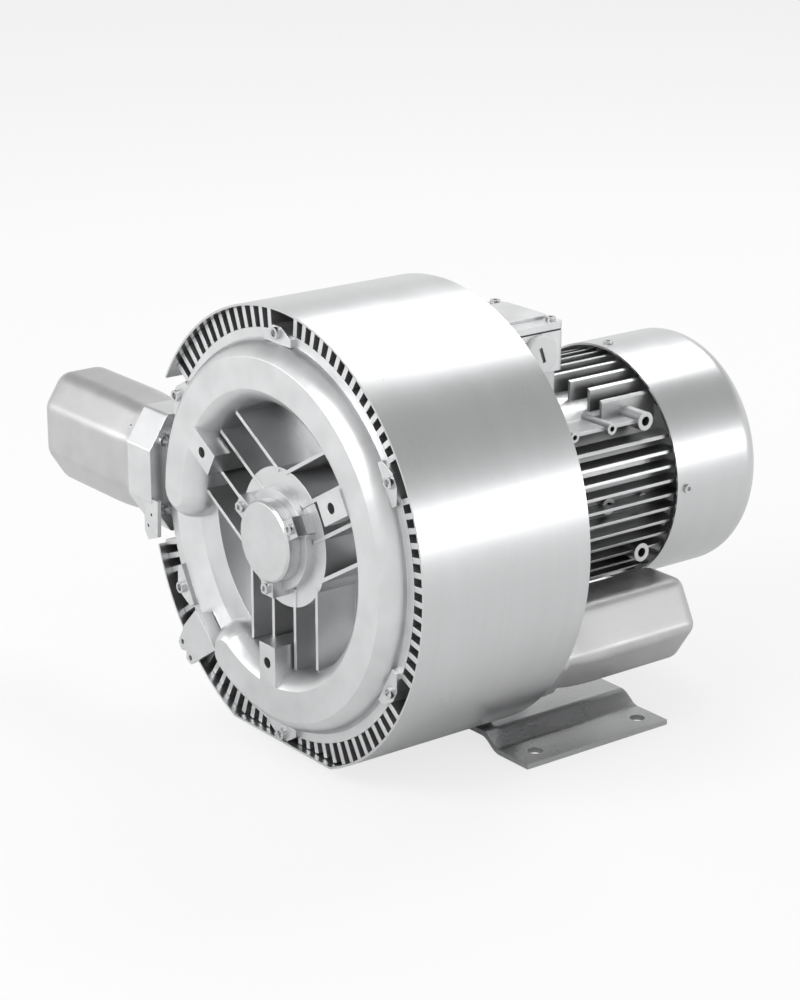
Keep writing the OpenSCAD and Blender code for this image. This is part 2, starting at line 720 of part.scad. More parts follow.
module front_bearing_outer() color("#8f9193") axle(brg1_z) outer_race(brg1_od, brg1_w);
module front_bearing_balls() color("#a9abad") axle(brg1_z) ball_set(brg1_od, brg1_w, 8);
module front_bearing_inner() color("#8f9193") axle(brg1_z) inner_race(brg1_od, brg1_w);
module rear_bearing_outer() color("#8f9193") axle(brg2_z) outer_race(brg2_od, brg2_w);
module rear_bearing_balls() color("#a9abad") axle(brg2_z) ball_set(brg2_od, brg2_w, 9);
module rear_bearing_inner() color("#8f9193") axle(brg2_z) inner_race(brg2_od, brg2_w);

spring_l = 3;
module wave_spring() color("#7c7e80") axle(brg2_end) tube(brg2_od / 2 - 0.5, brg2_od / 2 - 5, spring_l);

module shaft_seals() color("#2e2f31") {
    axle(recess_z + wall - seal_w) tube(seal_r, hub_r + shaft_gap, seal_w);
    axle(rear_floor_z) tube(seal_r, hub_r + shaft_gap, seal_w);
}

// Shaft and rotor

module shaft() color("#8b8d8f") axle() difference() {
    union() {
        translate([0, 0, shaft_front]) cylinder(d = brg_bore, h = imp_z - hub_s - shaft_front);
        translate([0, 0, imp_z - hub_s]) cylinder(r = seat_r, h = shoulder_z - imp_z + hub_s);
        translate([0, 0, shoulder_z]) cylinder(r = shaft_r, h = brg2_z - shoulder_z);
        translate([0, 0, brg2_z - eps]) cylinder(d = brg_bore, h = brg2_w + spring_l + 4);
        translate([0, 0, brg2_end]) cylinder(r = fan_shaft_r, h = shaft_end - brg2_end);
    }
    key_places() translate([seat_r - key_h / 2, -key_w / 2, 0]) cube([key_h, key_w, key_l]);
    translate([0, 0, fan_z + fan_hub_l + 0.2]) tube(fan_shaft_r + 1, fan_shaft_r - 1.2, 1.6);
}

module key_places() for (z = [imp_z + key_s, imp2_end - key_s - key_l]) translate([0, 0, z]) children();

module impeller_keys() color("#77797b") axle() key_places()
    translate([seat_r - key_h / 2, -key_w / 2, 0]) cube([key_h, key_w, key_l]);

module shaft_nut() color("#77797b") axle(brg1_z - nut_l) difference() {
    cylinder(r = 25, h = nut_l, $fn = 6);
    translate([0, 0, -1]) cylinder(d = brg_bore + 2 * screw_gap, h = nut_l + 2);
}

// An impeller's cup, web and hub in section.
module impeller_section() polygon([[seat_r + shaft_gap / 2, -hub_s], [hub_r, -hub_s], [hub_r, web_s - 4],
    [hub_r + 4, web_s], [cup_in, web_s], [cup_in, cup_set], [cup_r, cup_set], [cup_r, web_end],
    [seat_r + shaft_gap / 2, web_end]]);

module impeller() {
    difference() {
        union() {
            rotate_extrude() impeller_section();
            linear_extrude(imp_w) difference() {
                toothed(blade_count, cup_r - 1, chan_out - run_gap, blade_t);
                circle(r = cup_r - 2);
            }
            translate([0, 0, imp_w / 2 - 1.5]) tube(chan_out - run_gap - 0.5, cup_r - 1.5, 3);
        }
        translate([0, -key_w / 2, key_s]) cube([seat_r + key_h / 2, key_w, key_l]);
        for (a = [30:60:359]) rotate([0, 0, a]) translate([78, 0, web_s - 1]) cylinder(r = 9, h = web_t + 2);
    }
}

module impeller_front() color("#b4b7ba") axle(imp_z) impeller();
module impeller_rear() color("#b4b7ba") axle(imp2_end) rotate([180, 0, 0]) impeller();
module impeller_spacer() color("#8b8d8f") axle(imp_z + web_end)
    tube(hub_r, seat_r + shaft_gap / 2, stage_pitch + imp_w - 2 * web_end);

bar_count = 20;
bar_r = 3.2;
module rotor_core() color("#6f7173") axle(stack_z) difference() {
    cylinder(r = rotor_r, h = stack_l);
    translate([0, 0, -1]) cylinder(r = shaft_r + shaft_gap / 2, h = stack_l + 2);
    round_axis(rotor_r - 7, [for (i = [0:bar_count - 1]) 360 * i / bar_count])
        translate([0, 0, -1]) cylinder(r = bar_r, h = stack_l + 2);
}

module rotor_cage() color("#b4b7ba") axle(stack_z) {
    for (z = [-cage_ring_l, stack_l]) translate([0, 0, z]) tube(rotor_r - 1, rotor_r - 15, cage_ring_l);
    round_axis(rotor_r - 7, [for (i = [0:bar_count - 1]) 360 * i / bar_count])
        translate([0, 0, -eps]) cylinder(r = bar_r, h = stack_l + 2 * eps);
}

// Motor

slot_count = 24;
slot_from = gap_r + 3;
slot_to = gap_r + 20;
module slots(w, z0, l, grow)
    for (i = [0:slot_count - 1]) rotate([0, 0, 360 * i / slot_count])
        translate([slot_from - grow, -w / 2, z0]) cube([slot_to - slot_from + grow, w, l]);

module stator_core() color("#5e6062") axle(stack_z) difference() {
    cylinder(r = stator_r - shaft_gap, h = stack_l);
    translate([0, 0, -1]) cylinder(r = gap_r, h = stack_l + 2);
    slots(6, -1, stack_l + 2, 0);
    slots(2, -1, stack_l + 2, 4);
}

module stator_windings() color("#a5683a") axle(stack_z) {
    for (z = [-22, stack_l]) translate([0, 0, z]) rotate_extrude()
        polygon(rounded([[gap_r + 4, 0], [slot_to, 0], [slot_to, 22], [gap_r + 4, 22]], 4));
    slots(6, -1, stack_l + 2, 0);
}

// The shelf is the thick fin on each side that carries the upper eyes.
shelf_up = 68.5;
shelf_t = 3.5;
shelf_x = 93;
shelf_z = [box_z0 + 58, motor_end - 34];
module side_fins()
    for (i = [-1:9]) translate([-motor_fin_r, 36 - i * motor_fin_pitch - motor_fin_t / 2, fin_start])
        cube([2 * motor_fin_r, motor_fin_t, motor_end - fin_start]);

// Upright fins: long ones below, and above a row that starts behind the terminal box.
upright_pitch = 13.8;
upright_start = [2, 2, 4, 14, 26, 29];
module upright_fins() {
    for (k = [-5:5]) {
        start = box_z0 + box_l + upright_start[abs(k)];
        translate([k * upright_pitch - motor_fin_t / 2, 30, start])
            cube([motor_fin_t, motor_fin_r, motor_end - start]);
    }
    for (x = [-49:14:49]) translate([x - motor_fin_t / 2, -motor_fin_r, fin_start])
        cube([motor_fin_t, 60, motor_end - fin_start]);
}

module shelves()
    for (s = [-1, 1]) translate([s > 0 ? 40 : -shelf_x, shelf_up - shelf_t / 2, shelf_z[0]])
        cube([shelf_x - 40, shelf_t, shelf_z[1] - shelf_z[0]]);

// The eyes on each side: distance along the shaft, height, outer radius and bore radius.
eye_face = 98;
eyes = [[motor_end - 36, shelf_up, 9, 4.5], [motor_end - 36, -60, 9, 4.5], [motor_end - 79, -6, 8, 4],
    [motor_end - 37, -6, 4.8, 2], [motor_end - 77, shelf_up, 5.5, 2.6], [motor_end - 122, shelf_up, 5, 2.4]];
module side_bosses()
    for (s = [-1, 1], e = eyes) scale([s, 1, 1]) translate([40, e[1], e[0]]) rotate([0, 90, 0])
        cylinder(r = e[2], h = eye_face - 40);

module side_boss_holes()
    for (s = [-1, 1], e = eyes) translate([s * (eye_face - 16), e[1], e[0]]) rotate([0, s * 90, 0])
        cylinder(r = e[3], h = 20);

module motor_housing() color("#c2c4c6") axle() difference() {
    union() {
        translate([0, 0, motor_z]) cylinder(r = motor_r, h = motor_l);
        translate([0, 0, motor_z]) cylinder(r = seat_ring_r, h = motor_flange_t);
        intersection() {
            translate([0, 0, fin_start]) cylinder(r = motor_fin_r, h = motor_end - fin_start);
            union() {
                side_fins();
                upright_fins();
            }
        }
        shelves();
        side_bosses();
        translate([-42, 60, box_z0 + 5]) cube([84, box_z - 60, box_l - 10]);
    }
    translate([0, 0, motor_z - 1]) cylinder(r = stator_r, h = motor_l + 2);
    translate([-lead_w / 2, 70, box_mid - lead_l / 2]) cube([lead_w, box_z, lead_l]);
    translate([0, 0, motor_z]) round_axis(motor_bolt_r, corners) screw_hole(motor_bolt_d, motor_flange_t + 1);
    translate([0, 0, motor_end - 20]) round_axis(shield_screw_r, corners)
        screw_hole(shield_screw_d - 2.2, 21);
    box_screw_sites() rotate([180, 0, 0]) screw_hole(5, 14);
    side_boss_holes();
}

module motor_bolts() color("#9ea0a2") axle(motor_z + motor_flange_t) round_axis(motor_bolt_r, corners)
    rotate([180, 0, 0]) screw(motor_bolt_d, motor_flange_t + 16, 13, 6);

module rear_shield() color("#b9bcbe") axle() difference() {
    union() {
        translate([0, 0, motor_end]) cylinder(r = motor_r, h = shield_t);
        translate([0, 0, motor_end - 4]) cylinder(r = stator_r - shaft_gap, h = 5);
        translate([0, 0, brg2_z - 2]) cylinder(r = brg2_od / 2 + 7, h = motor_end + shield_t + 8 - brg2_z);
        round_axis(0, [0, 90, 180, 270]) translate([motor_r - 10, -8, motor_end + eps])
            cube([cowl_r - cowl_t - seat_gap - motor_r + 10, 16, shield_t - eps]);
    }
    translate([0, 0, brg2_z - 3]) cylinder(d = brg2_od, h = brg2_w + spring_l + 3);
    translate([0, 0, brg2_z - 3]) cylinder(r = fan_shaft_r + 5, h = 60);
    translate([0, 0, cowl_screw_z]) for (a = [0:90:270]) rotate([0, 0, a]) translate([cowl_r, 0, 0])
        rotate([0, -90, 0]) translate([0, 0, 1]) screw_hole(5, 16);
    translate([0, 0, motor_end]) round_axis(shield_screw_r, corners) screw_hole(shield_screw_d - 2.2, 20);
}

module shield_screws() color("#9ea0a2") axle(motor_end + shield_t) round_axis(shield_screw_r, corners)
    rotate([180, 0, 0]) screw(shield_screw_d - 2.2, 24, 7, 3);

// Fan and cowl

module cooling_fan() color("#3a3c3e") axle(fan_z) difference() {
    union() {
        cylinder(r = fan_shaft_r + 9, h = fan_hub_l);
        translate([0, 0, fan_hub_l / 2 - 2]) cylinder(r = fan_r - 22, h = 4);
        for (i = [0:fan_blades - 1]) rotate([0, 0, 360 * i / fan_blades])
            translate([fan_shaft_r + 6, -1.5, -4]) linear_extrude(fan_w)
                square([fan_r - fan_shaft_r - 6, 3]);
    }
    translate([0, 0, -9]) cylinder(r = fan_shaft_r + shaft_gap / 2, h = fan_w + 12);
}

module fan_clip() color("#77797b") axle(fan_z + fan_hub_l + 0.2) difference() {
    tube(fan_shaft_r + 4, fan_shaft_r - 1.2, 1.6);
    translate([0, -4, -1]) cube([fan_shaft_r + 5, 8, 4]);
}

// Half of the cowl's section, from its front rim to the round edge and the rear face.
module cowl_section(inset) {
    r = cowl_r - inset;
    end = cowl_l - inset;
    round_r = cowl_round - inset;
    union() {
        translate([0, -inset]) square([r, end - round_r + inset]);
        translate([0, end - round_r - eps]) square([r - round_r, round_r + eps]);
        intersection() {
            translate([r - round_r, end - round_r]) circle(r = round_r);
            translate([0, end - round_r - eps]) square([r, round_r + eps]);
        }
    }
}

grille_step = 11;
module grille_slots()
    difference() {
        for (r = [26:grille_step:cowl_r - cowl_round - 8]) tube(r + 6.5, r, 10);
        for (a = [0:60:120]) rotate([0, 0, a]) translate([-cowl_r, -4, -1]) cube([2 * cowl_r, 8, 12]);
    }

module fan_cowl() color("#d0d2d3") axle(cowl_z) difference() {
    rotate_extrude() cowl_section(0);
    rotate_extrude() cowl_section(cowl_t);
    translate([0, 0, cowl_l - 6]) grille_slots();
    for (a = [0:90:270]) rotate([0, 0, a]) translate([cowl_r + 1, 0, cowl_screw_z - cowl_z])
        rotate([0, -90, 0]) cylinder(r = 2.8, h = 8);
}

module cowl_screws() color("#9ea0a2") axle(cowl_screw_z)
    for (a = [0:90:270]) rotate([0, 0, a]) translate([cowl_r + 0.1, 0, 0])
        rotate([0, -90, 0]) screw(5, 12, 9, 2.4);

// Terminal box

module upward(h) translate([0, h, box_mid]) rotate([-90, 0, 0]) children();

module box_screw_sites() upward(box_z + box_wall)
    for (x = [-1, 1], y = [-1, 1]) translate([x * box_screw_x, y * box_screw_y, 0]) children();

module lid_screw_sites(h) upward(h)
    for (x = [-1, 1], y = [-1, 1]) translate([x * box_corner, y * (box_l / 2 - box_post_in), 0]) children();

module terminal_box() color("#d6d8d9") axle() difference() {
    upward(box_z) linear_extrude(box_h) polygon(rounded(box_outline(box_w, box_l), 6));
    upward(box_z + box_wall) linear_extrude(box_h) difference() {
        polygon(rounded(box_outline(box_w - 2 * box_wall, box_l - 2 * box_wall), 4));
        for (x = [-1, 1], y = [-1, 1])
            translate([x * box_corner, y * (box_l / 2 - box_post_in)]) square(box_post, center = true);
    }
    upward(box_z - 1) translate([-lead_w / 2, -lead_l / 2, 0]) cube([lead_w, lead_l, 10]);
    translate([box_w / 2 - box_wall - 1, plug_up, plug_at]) rotate([0, 90, 0])
        cylinder(r = plug_thread_r + seat_gap, h = box_wall + 2);
    box_screw_sites() rotate([180, 0, 0]) screw_hole(5, 20);
    lid_screw_sites(box_top + eps) rotate([180, 0, 0]) screw_hole(5, 18);
}

module box_screws() color("#9ea0a2") axle() box_screw_sites() rotate([180, 0, 0]) screw(5, 14);

module lid_gasket() color("#55575a") axle() difference() {
    upward(box_top) linear_extrude(lid_gasket_t) difference() {
        polygon(rounded(box_outline(box_w - 1, box_l - 1), 6));
        polygon(rounded(box_outline(box_w - 10, box_l - 10), 4));
    }
    lid_screw_sites(box_top) translate([0, 0, -1]) cylinder(d = 6, h = 4);
}

module terminal_lid() color("#d9dbdc") axle() {
    base = box_top + lid_gasket_t;
    difference() {
        union() {
            upward(base) linear_extrude(lid_h - 2.5) polygon(rounded(box_outline(box_w, box_l), 6));
            upward(base) linear_extrude(lid_h) polygon(rounded(box_outline(box_w - 36, box_l - 8), 5));
        }
        upward(base - 1) linear_extrude(lid_h - 3.5) polygon(rounded(box_outline(box_w - 44, box_l - 34), 5));
        lid_screw_sites(base - eps) cylinder(d = 5 + 2 * screw_gap, h = lid_h + 1);
    }
}

module lid_screws() color("#9ea0a2") axle() lid_screw_sites(box_top + lid_gasket_t + lid_h - 2.5)
    rotate([180, 0, 0]) screw(5, 20, 9.5, 3.4);

stud_places = [for (x = [-15, 0, 15], y = [-10, 10]) [x, y]];
board_up = box_z + box_wall;
module terminal_board() color("#4a2e22") axle() upward(board_up) difference() {
    union() {
        for (x = [-27, 21]) translate([x, -12, 0]) cube([6, 24, 6]);
        translate([-28, -20, 5.9]) cube([56, 40, 7]);
    }
    for (p = stud_places) translate([p.x, p.y, 0]) cylinder(d = 5 + 2 * screw_gap, h = 20);
}

module terminal_studs() color("#b58e4a") axle() upward(board_up + 5.9)
    for (p = stud_places) translate([p.x, p.y, 0]) {
        translate([0, 0, 0]) cylinder(d = 5, h = 20);
        translate([0, 0, 7]) cylinder(r = 4.6, h = 4, $fn = 6);
    }

module cable_plug() color("#e6e7e8") axle() translate([box_w / 2, plug_up, plug_at]) rotate([0, 90, 0])
    difference() {
        union() {
            cylinder(r = plug_r, h = 3.5);
            translate([0, 0, 3.5 - eps]) cylinder(r1 = plug_r, r2 = plug_r - 1.5, h = 1.5);
            translate([0, 0, -box_wall - 4]) cylinder(r = plug_thread_r, h = box_wall + 4 + eps);
        }
        rotate([0, 0, -20]) translate([-1.8, -7.5, 2.5]) cube([3.6, 15, 4]);
    }

// Silencers

// A round-edged barrel along z, made from its outline and the radius of its far edge.
module barrel(outline, l, edge)
    hull() {
        linear_extrude(1) polygon(rounded(outline, 9));
        for (k = [0:5]) translate([0, 0, l - edge + edge * sin(18 * k) - 0.1]) linear_extrude(0.1)
            polygon(rounded(inset(outline, edge * (1 - cos(18 * k))), 9 - 5 * (1 - cos(18 * k)), 3));
    }

module silencer(outline, l, at, edge) {
    difference() {
        barrel(outline, l, edge);
        translate([at.x, at.y, -1]) cylinder(r = port_r + sil_wall, h = l - port_l + 1);
        translate([at.x, at.y, -1]) cylinder(r = port_r, h = l + 2);
        children();
    }
}

module inlet_silencer() color("#c6c8ca") axle() leftward(inlet_x + sil_gasket_t)
    silencer([for (p = neck_outline) p + [neck_z, neck_up]], inlet_l, [neck_z, neck_up], 14)
        for (p = inlet_screw_xy) translate([neck_z + p.x, neck_up + p.y, 0]) screw_hole(sil_screw_d, 18);

module foam(l) tube(port_r + sil_wall, duct_r, l);

module inlet_foam() color("#3c3e40") axle() translate([0, neck_up, neck_z]) leftward(inlet_x + sil_gasket_t)
    foam(inlet_l - port_l);

module inlet_gasket() color("#55575a") axle() translate([0, neck_up, neck_z]) leftward(inlet_x)
    linear_extrude(sil_gasket_t) difference() {
        polygon(rounded(neck_outline * 0.96, 4));
        circle(r = duct_r + 1);
        for (p = inlet_screw_xy) translate(p) circle(d = sil_screw_d + 1);
    }

module inlet_screws() color("#9ea0a2") axle() silencer_screw_sites()
    screw(sil_screw_d, inlet_x - neck_in_x + 14);

module outlet_silencer() color("#c6c8ca") axle(out_face + sil_gasket_t) translate([out_x, out_up, 0])
    silencer(outlet_outline, outlet_l, [0, 0], 12)
        for (p = outlet_screw_xy) translate(p) screw_hole(sil_screw_d, 18);

module outlet_foam() color("#3c3e40") axle(out_face + sil_gasket_t) translate([out_x, out_up, 0])
    foam(outlet_l - port_l);

module outlet_gasket() color("#55575a") axle(out_face) translate([out_x, out_up, 0])
    linear_extrude(sil_gasket_t) difference() {
        polygon(rounded(outlet_outline * 0.96, 6));
        circle(r = duct_r + 1);
        for (p = outlet_screw_xy) translate(p) circle(d = sil_screw_d + 1);
    }

module outlet_screws() color("#9ea0a2") axle(out_face - 15) outlet_sites() cylinder(d = sil_screw_d, h = 30);

// Base

base_flat = 90;
base_run = 24;
base_half_w = 155;
base_rise = base_h - base_t;
bend_steps = 10;

// Middle of the plate in the smooth bend from the raised part, at 0, to the flange, at 1.
function bend(t) = [base_flat + base_run * t, base_t / 2 + base_rise * (1 + cos(180 * t)) / 2];
function bend_normal(t) = unit([base_rise * PI / 2 * sin(180 * t) / base_run, 1]);
function bend_side(side) = [for (k = [0:bend_steps]) let (t = k / bend_steps)
    bend(t) + side * base_t / 2 * bend_normal(t)];
function mirrored(pts) = [for (p = pts) [-p.x, p.y]];
function reversed(pts) = [for (i = [len(pts) - 1:-1:0]) pts[i]];

module base_outline() polygon(concat(
    bend_side(1), [[base_half_w, base_t], [base_half_w, 0]], reversed(bend_side(-1)),
    mirrored(bend_side(-1)), [[-base_half_w, 0], [-base_half_w, base_t]], reversed(mirrored(bend_side(1)))));

module base_bracket() color("#8e9092") difference() {
    translate([0, base_y0 + base_l, 0]) rotate([90, 0, 0]) linear_extrude(base_l) base_outline();
    for (x = [-1, 1], y = [-1, 1]) translate([x * foot_x / 2, y * foot_y / 2, -1])
        cylinder(r = foot_hole_r, h = base_t + 2);
    axle() base_screw_sites() cylinder(r1 = 10.2, r2 = 5.2, h = base_t + 0.01);
}

module base_screws() color("#77797b") axle() base_screw_sites() {
    cylinder(r1 = 10, r2 = 5, h = base_t);
    translate([0, 0, base_t - eps]) cylinder(d = 10, h = 16);
}

base_bracket();
base_screws();
rear_casing();
centre_casing();
front_cover();
joint_gaskets();
cover_bolts();
casing_bolts();
air_shroud();
shroud_screws();
bearing_cap();
cap_screws();
front_bearing_outer();
front_bearing_balls();
front_bearing_inner();
rear_bearing_outer();
rear_bearing_balls();
rear_bearing_inner();
wave_spring();
shaft_seals();
shaft();
shaft_nut();
impeller_front();
impeller_rear();
impeller_spacer();
impeller_keys();
rotor_core();
rotor_cage();
stator_core();
stator_windings();
motor_housing();
motor_bolts();
rear_shield();
shield_screws();
cooling_fan();
fan_clip();
fan_cowl();
cowl_screws();
terminal_box();
box_screws();
lid_gasket();
terminal_lid();
lid_screws();
terminal_board();
terminal_studs();
cable_plug();
inlet_silencer();
inlet_foam();
inlet_gasket();
inlet_screws();
outlet_silencer();
outlet_foam();
outlet_gasket();
outlet_screws();
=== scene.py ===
"""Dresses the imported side-channel blower: finishes, silencer housings, studio and camera.

Everything is in metres in the part's own frame: +Z up, +Y along the shaft from the front
cover to the motor, +X to the right seen from the front, origin at the middle of the foot holes.
"""

from __future__ import annotations

import logging
import math
from dataclasses import dataclass, field, replace
from enum import Enum
from typing import Any, Iterable, Mapping, Sequence

import bpy
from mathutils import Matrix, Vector

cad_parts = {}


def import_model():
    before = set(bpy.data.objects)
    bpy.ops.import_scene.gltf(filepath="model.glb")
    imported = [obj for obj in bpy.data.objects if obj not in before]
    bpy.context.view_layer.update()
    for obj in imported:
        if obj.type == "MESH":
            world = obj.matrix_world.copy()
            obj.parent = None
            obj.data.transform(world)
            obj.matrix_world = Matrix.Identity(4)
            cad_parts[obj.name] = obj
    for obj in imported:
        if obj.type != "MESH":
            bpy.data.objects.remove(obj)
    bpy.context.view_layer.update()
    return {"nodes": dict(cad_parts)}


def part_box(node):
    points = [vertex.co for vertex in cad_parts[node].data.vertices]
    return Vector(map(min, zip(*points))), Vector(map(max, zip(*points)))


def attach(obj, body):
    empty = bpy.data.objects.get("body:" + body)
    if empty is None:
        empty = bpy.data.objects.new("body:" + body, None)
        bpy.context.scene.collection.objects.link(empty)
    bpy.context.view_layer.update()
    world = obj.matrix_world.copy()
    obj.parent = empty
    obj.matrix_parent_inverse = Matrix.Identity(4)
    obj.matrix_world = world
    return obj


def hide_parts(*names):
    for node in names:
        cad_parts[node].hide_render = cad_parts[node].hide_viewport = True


LOG = logging.getLogger("blower")
MM = 0.001
# Halfway from 0 to 1, which is also what noise lies round.
MIDDLE = 0.5
BEVEL_SAMPLES = 4
SHELTER_SAMPLES = 4
WHITE = (1.0, 1.0, 1.0, 1.0)
RIGHT = Vector((1, 0, 0))
BACK = Vector((0, 1, 0))
UP = Vector((0, 0, 1))

Colour = tuple[float, float, float]
Point = tuple[float, float]
Span = tuple[float, float]


class Value:
    """A number in a shader, worked on with Python's own operators."""

    def __init__(self, graph: "Graph", socket: Any) -> None:
        """Wraps an output socket of a graph."""
        self.graph = graph
        self.socket = socket

    def _math(self, operation: str, first: Any, second: Any) -> "Value":
        """Adds one Math node.

        Args:
            operation: The Math node's operation.
            first: A Value or a number.
            second: A Value or a number.

        Returns:
            The node's result.
        """
        node = self.graph.node("ShaderNodeMath", {"operation": operation}, {0: first, 1: second})
        return Value(self.graph, node.outputs[0])

    def __add__(self, other: Any) -> "Value":
        """Sum."""
        return self._math("ADD", self, other)

    def __radd__(self, other: Any) -> "Value":
        """Sum with a number on the left."""
        return self._math("ADD", other, self)

    def __sub__(self, other: Any) -> "Value":
        """Difference."""
        return self._math("SUBTRACT", self, other)

    def __rsub__(self, other: Any) -> "Value":
        """Difference from a number on the left."""
        return self._math("SUBTRACT", other, self)

    def __mul__(self, other: Any) -> "Value":
        """Product."""
        return self._math("MULTIPLY", self, other)

    def __rmul__(self, other: Any) -> "Value":
        """Product with a number on the left."""
        return self._math("MULTIPLY", other, self)

    def __pow__(self, other: Any) -> "Value":
        """Power."""
        return self._math("POWER", self, other)

    def clipped(self, low: float = 0.0, high: float = 1.0) -> "Value":
        """Keeps the value between two numbers."""
        return self._math("MAXIMUM", self._math("MINIMUM", self, high), low)

    def rising(self, low: float, high: float) -> "Value":
        """Goes from 0 at low to 1 at high and stays between them."""
        return ((self - low) * (1.0 / (high - low))).clipped()


class Graph:
    """The node tree of one material or of the world."""

    def __init__(self, tree: Any) -> None:
        """Empties a node tree and keeps it."""
        self.tree = tree
        tree.nodes.clear()

    def node(self, kind: str, settings: Mapping[str, Any] | None = None,
             inputs: Mapping[Any, Any] | None = None) -> Any:
        """Adds a node.

        Args:
            kind: The node's type.
            settings: Attributes, set first. "stops" fills a ramp with (place, grey or colour).
            inputs: Socket name or number, and a Value, an output socket or a plain value.

        Returns:
            The new node.
        """
        made = self.tree.nodes.new(kind)
        for name, value in (settings or {}).items():
            if name == "stops":
                self._fill_ramp(made.color_ramp, value)
            else:
                setattr(made, name, value)
        for key, value in (inputs or {}).items():
            socket = made.inputs[key]
            source = value.socket if isinstance(value, Value) else value
            if isinstance(source, bpy.types.NodeSocket):
                self.tree.links.new(source, socket)
            else:
                socket.default_value = source
        return made

    @staticmethod
    def _fill_ramp(ramp: Any, stops: Sequence[tuple[float, Any]]) -> None:
        """Gives a ramp its stops.

        Args:
            ramp: The ramp.
            stops: Place and grey or colour of each stop, from left to right.
        """
        while len(ramp.elements) < len(stops):
            ramp.elements.new(MIDDLE)
        for element, (place, shade) in zip(ramp.elements, stops):
            element.position = place
            rgb = (shade,) * 3 if isinstance(shade, (int, float)) else tuple(shade)
            element.color = (*rgb, 1.0)

    def value(self, kind: str, output: Any, settings: Mapping[str, Any] | None = None,
              inputs: Mapping[Any, Any] | None = None) -> Value:
        """Adds a node and wraps one of its outputs."""
        return Value(self, self.node(kind, settings, inputs).outputs[output])

    def place(self, scale: Sequence[float] = (1.0, 1.0, 1.0)) -> Any:
        """The point on the part in metres, stretched along each axis.

        Args:
            scale: Scale along each axis.

        Returns:
            The point's output socket.
        """
        coordinates = self.node("ShaderNodeTexCoord")
        mapping = self.node("ShaderNodeMapping", None, {"Vector": coordinates.outputs["Object"],
                                                        "Scale": tuple(scale)})
        return mapping.outputs[0]

    def noise(self, size_mm: float, detail: float = 3.0,
              stretch: Sequence[float] = (1.0, 1.0, 1.0)) -> Value:
        """Noise of a feature size in millimetres.

        Args:
            size_mm: Size of its largest features.
            detail: How many finer layers it has.
            stretch: Scale along each axis, below 1 where the features are long.

        Returns:
            A value round 0.5.
        """
        return self.value("ShaderNodeTexNoise", 0, None, {"Vector": self.place(stretch),
                                                          "Scale": 1.0 / (size_mm * MM), "Detail": detail})

    def blend(self, amount: Value, first: Any, second: Any) -> Any:
        """Mixes two colours by a value."""
        node = self.node("ShaderNodeMix", {"data_type": "RGBA"}, {0: amount, 6: first, 7: second})
        return node.outputs[2]


class Brush(Enum):
    """The way in which a sheet was finished."""

    AROUND = (0.06, 1.0, 0.06)
    ALONG = (1.0, 0.03, 1.0)


def opaque(colour: Colour) -> tuple[float, float, float, float]:
    """A colour with full opacity, as a socket takes it."""
    return (*colour, 1.0)


def shaded(colour: Colour, factor: float) -> tuple[float, float, float, float]:
    """A colour made lighter or darker, with full opacity."""
    return opaque(tuple(min(1.0, c * factor) for c in colour))


@dataclass(frozen=True)
class Finish:
    """What every finish has: a name, a colour and a gloss."""

    name: str
    colour: Colour
    roughness: float
    metallic: float = 1.0
    edge_mm: float = 0.8
    edge_bend: Span = (0.02, 0.22)

    def edges(self, graph: Graph) -> tuple[Any, Value]:
        """Rounds the edges in the shading.

        Args:
            graph: The material's graph.

        Returns:
            The rounded normal, and a value that is 1 on a sharp edge and 0 on a plain face.
        """
        plain = graph.node("ShaderNodeNewGeometry")
        rounded = graph.node("ShaderNodeBevel", {"samples": BEVEL_SAMPLES}, {"Radius": self.edge_mm * MM})
        dot = graph.value("ShaderNodeVectorMath", "Value", {"operation": "DOT_PRODUCT"},
                          {0: rounded.outputs[0], 1: plain.outputs["Normal"]})
        return rounded.outputs[0], (1.0 - dot).rising(*self.edge_bend)

    def material(self) -> bpy.types.Material:
        """Builds the material.

        Returns:
            The finished material.
        """
        material = bpy.data.materials.new(self.name)
        material.use_nodes = True
        graph = Graph(material.node_tree)
        shader = graph.node("ShaderNodeBsdfPrincipled", None, {"Metallic": self.metallic})
        self.dress(graph, shader)
        graph.node("ShaderNodeOutputMaterial", None, {"Surface": shader.outputs[0]})
        material.diffuse_color = opaque(self.colour)
        return material

    def dress(self, graph: Graph, shader: Any) -> None:
        """Feeds colour, roughness and normal with this finish's own detail."""
        raise NotImplementedError

    def feed(self, graph: Graph, shader: Any, colour: Any, roughness: Value, height: Value,
             normal: Any, depth_mm: float) -> None:
        """Links the finished detail to the shader.

        Args:
            graph: The material's graph.
            shader: The Principled node.
            colour: Colour output.
            roughness: Roughness value.
            height: Height value of the bump.
            normal: Normal output that the bump starts from.
            depth_mm: Height of the bump from its lowest to its highest point.
        """
        bump = graph.node("ShaderNodeBump", None, {"Strength": 1.0, "Distance": depth_mm * MM,
                                                   "Height": height, "Normal": normal})
        for name, source in (("Base Color", colour), ("Roughness", roughness.socket),
                             ("Normal", bump.outputs[0])):
            graph.tree.links.new(source, shader.inputs[name])


